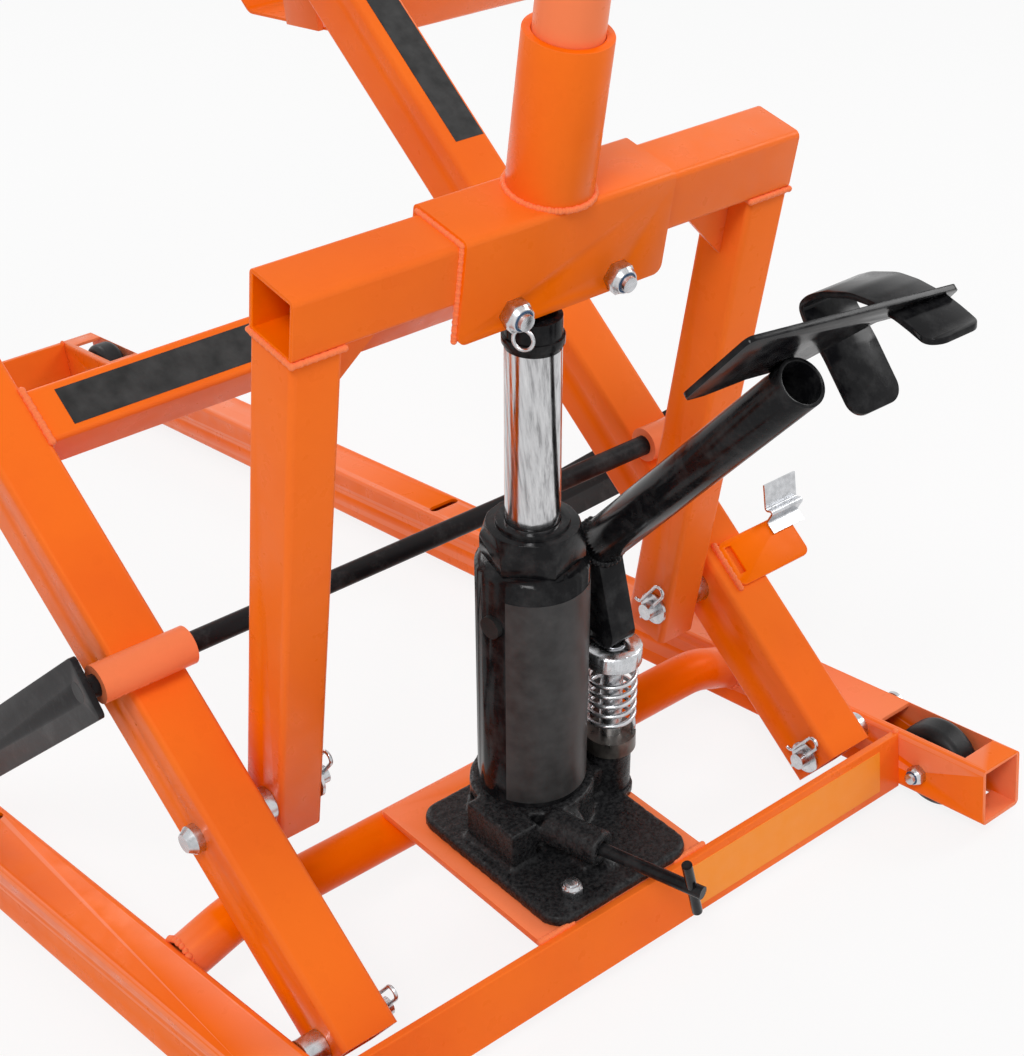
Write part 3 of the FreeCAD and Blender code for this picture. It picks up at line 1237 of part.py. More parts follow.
def make_handle():
    base = LEG_PIN.shifted(0, BEAM_MIDDLE, S.leg_top + S.beam_side + S.saddle_thickness)
    bore = S.post_diameter / 2 + S.post_clearance
    node(ring(S.sleeve_diameter / 2, bore, S.sleeve_length, base), "handle_sleeve")
    length = S.handle_height - S.leg_top - S.beam_side - S.saddle_thickness
    post = cylinder(S.post_diameter / 2, length, base)
    hollow = cylinder(S.post_diameter / 2 - S.post_wall, length - S.handle_diameter, base)
    bar_frame = LEG_PIN.shifted(-S.handle_half_length, BEAM_MIDDLE, S.handle_height)
    full = 2 * S.handle_half_length
    solid_bar = cylinder(S.handle_diameter / 2, full, bar_frame, ALONG_X)
    node(taken(taken(post, hollow), solid_bar), "handle_post")
    bar_again = cylinder(S.handle_diameter / 2, full, bar_frame, ALONG_X)
    bar_hollow = cylinder(S.handle_diameter / 2 - S.handle_wall, full, bar_frame, ALONG_X)
    node(taken(bar_again, bar_hollow), "handle_bar")
    grips = []
    for side in (-1, 1):
        outward = ((0, 1, 0), 90 * side)
        start = LEG_PIN.shifted((S.handle_half_length - S.grip_length) * side, BEAM_MIDDLE, S.handle_height)
        outside = cylinder(S.grip_diameter / 2, S.grip_length + S.grip_end, start, outward)
        inside = cylinder(S.handle_diameter / 2, S.grip_length, start, outward)
        grips.append(taken(outside, inside))
    node(group(grips), "handle_grips")


# The wheel pans
def make_pans():
    for name, side in SIDES:
        outer = S.top_half_length + S.pan_bar_outside
        make_pan_bar(name, side, outer)
        make_pan(name, side, outer + S.pan_side_clearance)


def make_pan_bar(name, side, outer):
    """A sliding square tube with a spindle and its keeper at the outer end."""
    half = (S.top_side - 2 * S.top_wall - 2 * S.pan_bar_clearance) / 2
    length = S.pan_bar_inside + S.pan_bar_outside
    tube = box_tube(name + "_pan_bar", 0, (-half, half), (-half, half), S.pan_bar_wall, S.top_corner / 2,
                    length, True)
    place(tube, PIVOT.shifted((outer - length / 2) * side, S.arm_reach - S.top_side / 2,
                              S.arm_depth / 2 + S.top_side / 2))
    keeper_at = outer + S.hanger_thickness + 2 * S.pan_side_clearance
    rounds = []
    for radius, thickness, start in (
            (S.spindle_diameter / 2, keeper_at - outer + S.spindle_length, outer - S.spindle_length),
            (half - S.pan_bar_wall / 2, S.pan_bar_wall, outer - S.pan_bar_wall),
            (S.keeper_diameter / 2, S.keeper_thickness, keeper_at)):
        rounds.append(cylinder(radius, thickness, TOP.shifted(start * side, 0, 0), ((0, 1, 0), 90 * side)))
    node(together(tube, *rounds), name + "_pan_bar")


def make_pan(name, side, inner):
    """A flat hanger with an eye, and a dished pan welded to the side of its foot."""
    half = S.hanger_width / 2
    body = new_body(name + "_hanger")
    sketch = new_sketch(body, "Hanger", "YZ_Plane")
    draw_box(sketch, -half, half, -S.hanger_drop - S.pan_thickness, half)
    pad(body, sketch, S.hanger_thickness, True)
    round_edges(body, S.hanger_corner, lambda edge: runs_along(edge, 0) and edge.Vertexes[0].Z > 0)
    drill(body, 0, [(0, 0)], S.spindle_diameter / 2 + S.spindle_clearance, 2 * S.hanger_thickness)
    node(place(body, TOP.shifted((inner + S.hanger_thickness / 2) * side, 0, 0)), name + "_hanger")
    pan_width = S.pan_width - S.hanger_thickness
    bed, run, rise, thick, bend, width = numbers(S.pan_bed / 2, S.pan_lip_run, S.pan_lip_rise,
                                                 S.pan_thickness, S.pan_bend, pan_width)
    points = [(-bed - run, rise), (-bed, 0), (bed, 0), (bed + run, rise)]
    solid = bent_strip(points, thick, bend).extrude(Vector(width, 0, 0))
    left = inner + S.hanger_thickness if side > 0 else -inner - S.pan_width
    spot = TOP.shifted(left, 0, -S.hanger_drop - S.pan_thickness / 2)
    node(shaped(solid, spot), name + "_pan")


def make_all():
    for name, side in SIDES:
        make_rail(name + "_rail", side)
    make_bar("front_bar", S.front_bar_place)
    make_bar("rear_bar", S.rail_length - S.bar_thickness)
    make_plate()
    make_pipe()
    for end, start in (("front", S.wheel_from_end), ("rear", S.rail_length - S.wheel_from_end)):
        for name, side in SIDES:
            make_wheel("%s_%s_wheel" % (end, name), side, start)
    make_wheel_bolts()
    make_pivots()
    make_jack()
    make_pump()
    make_pedal()
    make_lift()
    make_leg_pins()
    make_lock()
    make_yoke()
    make_pans()
    document.recompute()


def check_and_write():
    """Stops on a failed object or a bad shape, then writes one file for each sub-part."""
    for item in document.Objects:
        if "Invalid" in item.State or "Error" in item.State:
            raise RuntimeError("%s is in error" % item.Name)
    for thing in NODES:
        if thing.Shape.isNull() or not thing.Shape.isValid():
            raise RuntimeError("%s has a bad shape" % thing.Label)
    os.makedirs("parts", exist_ok=True)
    for thing in NODES:
        thing.Shape.exportStep("parts/%s.step" % thing.Label)


make_all()
check_and_write()
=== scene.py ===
import json
import math

import bmesh
import bpy
from mathutils import Euler, Matrix, Vector

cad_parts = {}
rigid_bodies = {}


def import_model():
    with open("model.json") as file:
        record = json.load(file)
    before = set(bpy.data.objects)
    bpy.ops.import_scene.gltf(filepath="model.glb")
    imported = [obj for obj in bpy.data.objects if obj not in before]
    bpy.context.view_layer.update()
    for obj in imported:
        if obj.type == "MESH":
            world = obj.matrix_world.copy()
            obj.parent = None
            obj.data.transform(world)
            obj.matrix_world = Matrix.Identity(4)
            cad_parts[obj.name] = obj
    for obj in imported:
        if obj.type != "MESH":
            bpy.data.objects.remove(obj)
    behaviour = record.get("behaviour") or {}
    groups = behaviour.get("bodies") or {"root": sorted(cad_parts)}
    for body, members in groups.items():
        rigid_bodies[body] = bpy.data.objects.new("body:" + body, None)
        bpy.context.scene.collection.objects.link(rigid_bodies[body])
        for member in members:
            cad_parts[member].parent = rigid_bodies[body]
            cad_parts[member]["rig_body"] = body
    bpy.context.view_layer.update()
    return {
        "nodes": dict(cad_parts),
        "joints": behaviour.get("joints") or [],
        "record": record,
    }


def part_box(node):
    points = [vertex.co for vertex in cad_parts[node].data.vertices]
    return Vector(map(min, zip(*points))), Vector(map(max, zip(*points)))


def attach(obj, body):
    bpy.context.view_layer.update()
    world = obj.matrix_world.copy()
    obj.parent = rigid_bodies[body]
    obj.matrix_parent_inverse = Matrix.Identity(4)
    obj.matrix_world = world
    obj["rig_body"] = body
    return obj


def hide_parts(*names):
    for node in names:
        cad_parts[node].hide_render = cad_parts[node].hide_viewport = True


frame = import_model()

bl_info = {
    "name": "Mower Lift Dressing",
    "version": (1, 0, 0),
    "blender": (4, 5, 0),
    "location": "3D View > Sidebar > Mower Lift",
    "description": "Finishes and details for a wheeled lawn mower lift with a foot pumped jack",
    "category": "Object",
}

NODES = frame["nodes"]
MM = 0.001
SIDES = (-1, 1)
STICKER_CORNER = 3 * MM

# Frames of the lift at rest, as the construction draws them, in metres and degrees about X
RAIL_TOP = 0.0585
FRONT_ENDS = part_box("left_rail")[0].y
PLATE_TILT = 8.9
ARM_ANGLE = 44.88
YOKE_LEAN = 17.9
LOCK_TILT = 33.2
PEDAL_TILT = 40.4

# How far some frames lie from the one that they are counted from, in millimetres
PLATE_START = 84
JACK_ON_PLATE = (-11, 98.7, 0)
PUMP_FROM_JACK = (57, -14, 0)
MOUTH_FROM_PIVOT = (0, -205.7, 219.9)

# The photograph's viewpoint, as solved from its edges: place in the base's frame, turns and lens shift
CAMERA_SPOT = (-671.8, -728.7, 777.3)
CAMERA_TURNS = (59.161, 3.406, -43.469)
CAMERA_SHIFT = (-0.160, 0.146)
SENSOR_WIDTH = 36

# Where the lamps stand and how wide they are, in metres, and the point that they are aimed at
LAMPS = {"key": ((-2.2, -2.6, 3.4), 1.2), "fill": ((2.8, -1.4, 2.0), 1.1), "back": ((0.4, 3.0, 2.8), 1.2)}
LAMP_AIM = (0, -0.35, 0.35)
BACKDROP_GLOW = 0.86

# How a copy of a CAD node is cleaned and where its edges count as sharp, in metres and degrees
SAME_POINT = 0.00001
FLAT_ANGLE = 0.6
SHARP_ANGLE = 50
SMOOTH_ANGLE = 32

# A weld bead's ripples: their spacing and swell as shares of its radius, and how quickly the swell changes
RIPPLE_STEP = 0.9
RIPPLE_SWELL = 0.10
RIPPLE_BEAT = 2.3
SMALL_BEAD = 0.8

# Faces of the tubes, in millimetres in the frame that each is drawn in
ARM_SIDES = (191.5, 231.5)
ARM_FACES = (-13, 25)
RAIL_INNER = 246
FRONT_BAR_FACE = 78
YOKE_FACES = (-12.54, 25.46)
SADDLE_SIDE = 75
SADDLE_FACE = -16.54
CYLINDER_RADIUS = 35.8

# The sticker round the cylinder: its height and middle in millimetres, its ends in degrees from the front,
# and its thickness as a share of the others'
WRAP_HEIGHT, WRAP_MIDDLE = 156, 118
WRAP_FROM, WRAP_TO = -67, 85
WRAP_THINNESS = 0.9

# The lock nuts of the wheels and the saddle, in millimetres: their places, how far their nylon rings stand
# out from the face behind them, and the rings' radii
WHEEL_BOLTS = ((59, -26.5), (1261, -26.5))
WHEEL_NUT_REACH, WHEEL_RING = 7.6, 4.6
SADDLE_BOLT = (38, 324.7)
SADDLE_NUT_REACH, SADDLE_RING = 9.6, 5.8
RING_WIRE = 0.8

# The clip ring by the yoke's left bolt, in millimetres: its radius and its wire's, how far out it hangs and
# how high. Its lean is in radians.
CLIP_RING, CLIP_WIRE = 6, 1.1
CLIP_REACH, CLIP_HEIGHT = 11, 313
CLIP_LEAN = 0.5

# The grips' length in millimetres, how much slimmer the foam is than the CAD tube, between its ribs and at
# its ends, and the angle in degrees from which its edges are sharp
GRIP_LENGTH = 119
GRIP_SLIM = 0.985
RIB_COUNT = 26
RIB_PULL = 0.94
END_PULL = 0.9
FOAM_ANGLE = 40

# The bore that the pump's piston runs in: its radius, its floor and the band round the floor, in millimetres
BORE_RADIUS = 8.2
BORE_FLOOR = 22.5
BORE_BAND = 2


def joint_spot(name):
    """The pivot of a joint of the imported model."""
    return Vector(next(joint["pos_m"] for joint in frame["joints"] if joint["name"] == name))


def turned_frame(origin, degrees):
    """The frame at an origin, turned about X."""
    return Matrix.Translation(origin) @ Matrix.Rotation(math.radians(degrees), 4, "X")


ARM = turned_frame(joint_spot("lift_pivot"), ARM_ANGLE)
YOKE = turned_frame(joint_spot("yoke_pivot"), YOKE_LEAN)
BASE = turned_frame(Vector((0, FRONT_ENDS, RAIL_TOP)), 0)
PLATE = turned_frame(BASE @ Vector((0, PLATE_START * MM, 0)), PLATE_TILT)
JACK = PLATE @ Matrix.Translation(Vector(JACK_ON_PLATE) * MM)
PUMP = JACK @ Matrix.Translation(Vector(PUMP_FROM_JACK) * MM)
LOCK = turned_frame(joint_spot("lock_pivot"), -LOCK_TILT)
MOUTH = turned_frame(joint_spot("pedal_pivot") + Vector(MOUTH_FROM_PIVOT) * MM, -PEDAL_TILT)


def colour_prop(name, description, default):
    return bpy.props.FloatVectorProperty(name=name, description=description, default=default,
                                         size=3, min=0, max=1, subtype="COLOR")


def length_prop(name, description, default):
    return bpy.props.FloatProperty(name=name, description=description, default=default, min=0,
                                   unit="LENGTH", subtype="DISTANCE")


def share_prop(name, description, default):
    return bpy.props.FloatProperty(name=name, description=description, default=default, min=0, max=1,
                                   subtype="FACTOR")


class LiftColours(bpy.types.PropertyGroup):
    frame_orange: colour_prop("Frame orange", "Powder coat of the tubes", (1.0, 0.168, 0.0))
    frame_shade: colour_prop("Frame shade", "Darker patches of the powder coat", (0.93, 0.135, 0.0))
    enamel: colour_prop("Enamel", "Gloss enamel of the jack and the pedal", (0.006, 0.006, 0.007))
    satin: colour_prop("Satin black", "Lock bar finish", (0.009, 0.008, 0.009))
    zinc: colour_prop("Zinc", "Bright plated fasteners", (0.62, 0.63, 0.65))
    chrome: colour_prop("Chrome", "Polished ram", (0.55, 0.55, 0.56))
    oiled: colour_prop("Oiled steel", "Pump tower and collar", (0.18, 0.165, 0.15))
    nylon: colour_prop("Nylon", "Moulded wheels", (0.012, 0.012, 0.013))
    label_dark: colour_prop("Dark label", "Bare stickers on the tubes", (0.010, 0.010, 0.010))
    label_amber: colour_prop("Amber label", "Bare sticker on the front bar", (1.0, 0.30, 0.012))
    floor: colour_prop("Floor", "Studio floor", (0.86, 0.86, 0.86))


class LiftSizes(bpy.types.PropertyGroup):
    bead: length_prop("Weld bead", "Radius of a weld bead", 0.0024)
    edge: length_prop("Edge", "How far sharp edges are broken", 0.0006)
    label_lift: length_prop("Label", "Thickness of a sticker", 0.0003)
    cast_grain: length_prop("Cast grain", "Depth of the casting's roughness", 0.0006)
    voxel: length_prop("Casting step", "Size of the casting's mesh steps", 0.0016)
    lens: bpy.props.FloatProperty(name="Lens", description="Focal length of the camera", default=68.01, min=1)


class LiftLight(bpy.types.PropertyGroup):
    key: bpy.props.FloatProperty(name="Key", description="Power of the large lamp", default=72, min=0)
    fill: bpy.props.FloatProperty(name="Fill", description="Power of the side lamp", default=27, min=0)
    back: bpy.props.FloatProperty(name="Back", description="Power of the rear lamp", default=30, min=0)
    sky: share_prop("Sky", "Strength of the even light all round", 0.48)


def settings():
    scene = bpy.context.scene
    return scene.lift_colours, scene.lift_sizes, scene.lift_light


# Materials
class Nodes:
    """A node tree with short ways to add and join nodes."""

    def __init__(self, name):
        self.material = bpy.data.materials.new(name)
        self.material.use_nodes = True
        self.tree = self.material.node_tree
        self.shader = self.tree.nodes["Principled BSDF"]

    def add(self, kind, **values):
        node = self.tree.nodes.new(kind)
        for key, value in values.items():
            setattr(node, key, value)
        return node

    def join(self, out, into):
        self.tree.links.new(out, into)

    def position(self, scale=(1, 1, 1), turn=(0, 0, 0)):
        """Object coordinates through a mapping."""
        place = self.add("ShaderNodeTexCoord")
        mapping = self.add("ShaderNodeMapping")
        mapping.inputs["Scale"].default_value = scale
        mapping.inputs["Rotation"].default_value = [math.radians(angle) for angle in turn]
        self.join(place.outputs["Object"], mapping.inputs["Vector"])
        return mapping.outputs["Vector"]

    def noise(self, where, scale, detail=3, rough=0.5):
        noise = self.add("ShaderNodeTexNoise")
        noise.inputs["Scale"].default_value = scale
        noise.inputs["Detail"].default_value = detail
        noise.inputs["Roughness"].default_value = rough
        self.join(where, noise.inputs["Vector"])
        return noise.outputs["Fac"]

    def ramp(self, factor, stops):
        ramp = self.add("ShaderNodeValToRGB")
        elements = ramp.color_ramp.elements
        for index, (spot, colour) in enumerate(stops):
            element = elements[index] if index < 2 else elements.new(spot)
            element.position = spot
            element.color = (*colour, 1)
        self.join(factor, ramp.inputs["Fac"])
        return ramp.outputs["Color"]

    def spread(self, factor, low, high, low_in=0.3, high_in=0.7):
        """The factor stretched to run from low to high."""
        fit = self.add("ShaderNodeMapRange")
        for key, value in (("From Min", low_in), ("From Max", high_in), ("To Min", low), ("To Max", high)):
            fit.inputs[key].default_value = value
        self.join(factor, fit.inputs["Value"])
        return fit.outputs["Result"]

    def bump(self, height, strength, distance, below=None):
        bump = self.add("ShaderNodeBump")
        bump.inputs["Strength"].default_value = strength
        bump.inputs["Distance"].default_value = distance
        self.join(height, bump.inputs["Height"])
        if below is not None:
            self.join(below, bump.inputs["Normal"])
        return bump.outputs["Normal"]

    def surface(self, colour, roughness, normal=None, metallic=0.0, specular=0.5, tint=(1, 1, 1)):
        shader = self.shader
        self.join(colour, shader.inputs["Base Color"])
        self.join(roughness, shader.inputs["Roughness"])
        if normal is not None:
            self.join(normal, shader.inputs["Normal"])
        shader.inputs["Metallic"].default_value = metallic
        shader.inputs["Specular IOR Level"].default_value = specular
        shader.inputs["Specular Tint"].default_value = (*tint, 1)
        return self.material


def lighter(colour, share):
    return tuple(min(1.0, part + (1 - part) * share) for part in colour)


def scaled(colour, share):
    return tuple(part * share for part in colour)


def powder_coat(colours):
    """Glossy powder coat: slow patches of a darker orange, orange peel, and a painted highlight of lighter
    orange on the sharp edges.
    """
    nodes = Nodes("powder_coat")
    where = nodes.position()
    patches = nodes.noise(where, scale=9, detail=4)
    # Painted highlight: the sharp edges, found by their pointiness, are mixed towards a lighter orange.
    edge = nodes.add("ShaderNodeNewGeometry").outputs["Pointiness"]
    painted_edge_highlight = nodes.spread(edge, 0, 1, low_in=0.53, high_in=0.60)
    colour = nodes.ramp(patches, [(0.3, tuple(colours.frame_shade)), (0.55, tuple(colours.frame_orange))])
    mix = nodes.add("ShaderNodeMix", data_type="RGBA")
    nodes.join(painted_edge_highlight, mix.inputs["Factor"])
    nodes.join(colour, mix.inputs["A"])
    mix.inputs["B"].default_value = (*lighter(colours.frame_orange, 0.10), 1)
    rough = nodes.spread(nodes.noise(where, scale=60, detail=4), 0.24, 0.40)
    peel = nodes.bump(nodes.noise(where, scale=420, detail=2), strength=0.10, distance=0.0004)
    dust = nodes.bump(nodes.noise(where, scale=2600, detail=2), strength=0.06, distance=0.0001, below=peel)
    return nodes.surface(mix.outputs["Result"], rough, dust, specular=0.17, tint=(1, 0.3, 0.02))


def gloss_enamel(colours):
    """Deep black enamel with faint runs and a few rubbed spots."""
    nodes = Nodes("gloss_enamel")
    where = nodes.position()
    rubbed = nodes.noise(where, scale=70, detail=6, rough=0.65)
    colour = nodes.ramp(rubbed, [(0.45, tuple(colours.enamel)), (0.8, lighter(colours.enamel, 0.03))])
    rough = nodes.spread(rubbed, 0.10, 0.26)
    runs = nodes.bump(nodes.noise(where, scale=110, detail=2), strength=0.12, distance=0.0006)
    fine = nodes.bump(nodes.noise(where, scale=900, detail=3), strength=0.05, distance=0.0002, below=runs)
    return nodes.surface(colour, rough, fine, specular=0.13)


def cast_enamel(colours):
    """Black enamel over sand cast iron: coarse lumps, fine grain and glints."""
    nodes = Nodes("cast_enamel")
    where = nodes.position()
    grain = nodes.noise(where, scale=380, detail=5, rough=0.6)
    colour = nodes.ramp(grain, [(0.35, tuple(colours.enamel)), (0.8, lighter(colours.enamel, 0.035))])
    rough = nodes.spread(grain, 0.16, 0.38)
    lumps = nodes.bump(nodes.noise(where, scale=150, detail=3), strength=0.55, distance=0.0012)
    fine = nodes.noise(where, scale=620, detail=4, rough=0.6)
    sand = nodes.bump(fine, strength=0.6, distance=0.0006, below=lumps)
    return nodes.surface(colour, rough, sand, specular=0.17)


def satin_black(colours):
    """Satin powder coat with a fine tooth and pale scuffs."""
    nodes = Nodes("satin_black")
    where = nodes.position()
    scuff = nodes.noise(where, scale=38, detail=8, rough=0.7)
    colour = nodes.ramp(scuff, [(0.5, tuple(colours.satin)), (0.78, lighter(colours.satin, 0.05))])
    rough = nodes.spread(scuff, 0.32, 0.5)
    tooth = nodes.bump(nodes.noise(where, scale=1500, detail=3), strength=0.2, distance=0.0002)
    return nodes.surface(colour, rough, tooth, specular=0.14)


def bright_zinc(colours):
    """Zinc plate with a cloudy passivation and fine turning marks."""
    nodes = Nodes("bright_zinc")
    where = nodes.position()
    cloud = nodes.noise(where, scale=160, detail=5, rough=0.6)
    dull = scaled(colours.zinc, 0.7)
    colour = nodes.ramp(cloud, [(0.3, dull), (0.6, tuple(colours.zinc)), (0.8, lighter(colours.zinc, 0.3))])
    rough = nodes.spread(cloud, 0.18, 0.36)
    turning = nodes.noise(nodes.position((900, 60, 60)), scale=6, detail=2)
    marks = nodes.bump(turning, strength=0.12, distance=0.0001)
    return nodes.surface(colour, rough, marks, metallic=1)


def polished_ram(colours):
    """Chrome with long rubbing marks down the ram and duller smudges over it."""
    nodes = Nodes("polished_ram")
    along = nodes.position((1, 1, 0.012), (-PLATE_TILT, 0, 0))
    streaks = nodes.noise(along, scale=420, detail=6, rough=0.65)
    where = nodes.position()
    smudge = nodes.noise(where, scale=55, detail=5)
    colour = nodes.ramp(streaks, [(0.3, scaled(colours.chrome, 0.55)), (0.5, tuple(colours.chrome)),
                                  (0.75, lighter(colours.chrome, 0.35))])
    rough = nodes.spread(smudge, 0.10, 0.24)
    lines = nodes.bump(streaks, strength=0.18, distance=0.0002)
    return nodes.surface(colour, rough, lines, metallic=1)


def oiled_steel(colours):
    """Bare machined steel under a film of oil."""
    nodes = Nodes("oiled_steel")
    where = nodes.position()
    film = nodes.noise(where, scale=120, detail=6, rough=0.6)
    colour = nodes.ramp(film, [(0.3, scaled(colours.oiled, 0.5)), (0.7, tuple(colours.oiled))])
    rough = nodes.spread(film, 0.22, 0.48)
    rings = nodes.noise(nodes.position((20, 20, 900), (-PLATE_TILT, 0, 0)), scale=4, detail=2)
    turned = nodes.bump(rings, strength=0.2, distance=0.0002)
    return nodes.surface(colour, rough, turned, metallic=0.9)


def moulded_black(name, tint, shine, grain):
    """Moulded black plastic or rubber with a fine moulded grain."""
    nodes = Nodes(name)
    where = nodes.position()
    patches = nodes.noise(where, scale=45, detail=6)
    colour = nodes.ramp(patches, [(0.35, scaled(tint, 0.7)), (0.7, lighter(tint, 0.02))])
    rough = nodes.spread(patches, shine, shine + 0.16)
    skin = nodes.bump(nodes.noise(where, scale=grain, detail=3), strength=0.25, distance=0.0003)
    return nodes.surface(colour, rough, skin, specular=0.18)


def bare_label(name, tint, roughness):
    """A sticker with nothing on it, slightly uneven where it was rubbed down."""
    nodes = Nodes(name)
    where = nodes.position()
    rub = nodes.noise(where, scale=85, detail=5)
    colour = nodes.ramp(rub, [(0.3, tuple(tint)), (0.75, lighter(tint, 0.03))])
    rough = nodes.spread(rub, roughness, roughness + 0.14)
    wave = nodes.bump(nodes.noise(where, scale=160, detail=2), strength=0.08, distance=0.0003)
    return nodes.surface(colour, rough, wave, specular=0.3)


MATERIALS = {}

SLOT_MATERIALS = {
    "orange_frame": "powder_coat", "black_gloss": "gloss_enamel", "cast_black": "cast_enamel",
    "black_satin": "satin_black", "chrome_ram": "polished_ram", "zinc": "bright_zinc",
    "spring_steel": "bright_zinc", "collar_steel": "oiled_steel", "wheel_plastic": "nylon",
    "grip_rubber": "grip_foam", "plug_rubber": "plug_rubber",
}


def node_slot(name):
    return next(part["material_slot"] for part in frame["record"]["subparts"] if part["node"] == name)


def dress(piece, material):
    piece.data.materials.clear()
    piece.data.materials.append(MATERIALS[material])


def node_body(name):
    return NODES[name]["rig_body"]


# Mesh tools
def deselect():
    if bpy.context.object and bpy.context.object.mode != "OBJECT":
        bpy.ops.object.mode_set(mode="OBJECT")
    bpy.ops.object.select_all(action="DESELECT")


def activate(piece):
    deselect()
    piece.select_set(True)
    bpy.context.view_layer.objects.active = piece


def settle(piece, name):
    """Names the piece and puts its place into its mesh."""
    piece.name = name
    piece.data.name = name
    activate(piece)
    bpy.ops.object.transform_apply(location=True, rotation=True, scale=True)
    return piece


def apply_modifier(piece, kind, **values):
    activate(piece)
    modifier = piece.modifiers.new(kind.title(), kind)
    for key, value in values.items():
        setattr(modifier, key, value)
    bpy.ops.object.modifier_apply(modifier=modifier.name)


def copy_of_node(node, name):
    """A merged copy of a CAD node with its flat faces whole again."""
    source = NODES[node]
    piece = bpy.data.objects.new(name, source.data.copy())
    bpy.context.scene.collection.objects.link(piece)
    activate(piece)
    bpy.ops.object.mode_set(mode="EDIT")
    bpy.ops.mesh.select_all(action="SELECT")
    bpy.ops.mesh.remove_doubles(threshold=SAME_POINT)
    bpy.ops.mesh.dissolve_limited(angle_limit=math.radians(FLAT_ANGLE))
    bpy.ops.object.mode_set(mode="OBJECT")
    return piece


def break_edges(node, width):
    """Replaces a CAD node by the same shape with its sharp edges broken."""
    piece = copy_of_node(node, node + "_edged")
    apply_modifier(piece, "BEVEL", width=width, segments=2, limit_method="ANGLE",
                   angle_limit=math.radians(SHARP_ANGLE), use_clamp_overlap=True, harden_normals=False)
    activate(piece)
    bpy.ops.object.shade_smooth_by_angle(angle=math.radians(SMOOTH_ANGLE))
    slot_name = node_slot(node)
    dress(piece, SLOT_MATERIALS[slot_name])
    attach(piece, node_body(node))
    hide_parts(node)
    return piece


def join_all(pieces, name):
    deselect()
    for piece in pieces:
        piece.select_set(True)
    bpy.context.view_layer.objects.active = pieces[0]
    if len(pieces) > 1:
        bpy.ops.object.join()
    return settle(pieces[0], name)


def torus(spot, turn, radius, wire, steps=32, wire_steps=8):
    """A smooth ring at a spot, with its radius and its wire's radius in millimetres."""
    deselect()
    bpy.ops.mesh.primitive_torus_add(location=spot, rotation=turn, major_radius=radius * MM,
                                     minor_radius=wire * MM, major_segments=steps,
                                     minor_segments=wire_steps)
    bpy.ops.object.shade_smooth()
    return bpy.context.object


def bead_run(points, radius, frame_matrix):
    """A run of overlapping weld ripples through the points, in one mesh."""
    corners = [frame_matrix @ (Vector(point) * MM) for point in points]
    spots = []
    for start, end in zip(corners, corners[1:]):
        count = max(1, int((end - start).length / (radius * RIPPLE_STEP)))
        spots += [start.lerp(end, step / count) for step in range(count)]
    spots.append(corners[-1])
    deselect()
    bpy.ops.mesh.primitive_ico_sphere_add(subdivisions=2, radius=radius, location=spots[0])
    piece = bpy.context.object
    bpy.ops.object.mode_set(mode="EDIT")
    for index, spot in enumerate(spots[1:]):
        size = radius * (1 + RIPPLE_SWELL * math.sin(index * RIPPLE_BEAT))
        bpy.ops.mesh.primitive_ico_sphere_add(subdivisions=2, radius=size, location=spot)
    bpy.ops.object.mode_set(mode="OBJECT")
    bpy.ops.object.shade_smooth()
    return piece


def weld_group(name, body, runs, radius, slot_name="orange_frame"):
    """All the beads of one body's welds as one piece. A run is (frame matrix, points)."""
    pieces = [bead_run(points, radius, matrix) for matrix, points in runs]
    piece = join_all(pieces, name)
    dress(piece, SLOT_MATERIALS[slot_name])
    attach(piece, body)
    return piece


def ring_points(radius, axis, centre, steps):
    """Points of a closed ring round an axis: X, Y or Z of the frame that it is drawn in."""
    points = []
    for step in range(steps + 1):
        angle = math.radians(360 * step / steps)
        first, second = radius * math.cos(angle), radius * math.sin(angle)
        spot = {"X": (0, first, second), "Y": (first, 0, second), "Z": (first, second, 0)}[axis]
        points.append(tuple(part + shift for part, shift in zip(spot, centre)))
    return points


def rectangle_points(x, y, z):
    """The corners of a closed rectangle; either x or z is a single number."""
    if not isinstance(z, tuple):
        return [(x[0], y[0], z), (x[1], y[0], z), (x[1], y[1], z), (x[0], y[1], z), (x[0], y[0], z)]
    return [(x, y[0], z[0]), (x, y[1], z[0]), (x, y[1], z[1]), (x, y[0], z[1]), (x, y[0], z[0])]


def sticker(name, matrix, middle, size, material, body):
    """A thin sheet with rounded corners, on the face whose outward side is the matrix's Z, in millimetres."""
    deselect()
    bpy.ops.mesh.primitive_cube_add(size=1)
    piece = bpy.context.object
    piece.data.transform(Matrix.Diagonal((size[0] * MM, size[1] * MM, settings()[1].label_lift, 1)))
    activate(piece)
    bpy.ops.object.mode_set(mode="EDIT")
    mesh = bmesh.from_edit_mesh(piece.data)
    for edge in mesh.edges:
        along = edge.verts[0].co - edge.verts[1].co
        edge.select_set(abs(along.z) > abs(along.x) + abs(along.y))
    bmesh.update_edit_mesh(piece.data)
    bpy.ops.mesh.bevel(offset=STICKER_CORNER, segments=5)
    bpy.ops.object.mode_set(mode="OBJECT")
    piece.data.transform(matrix @ Matrix.Translation(Vector(middle) * MM))
    settle(piece, name)
    dress(piece, material)
    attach(piece, body)
    return piece


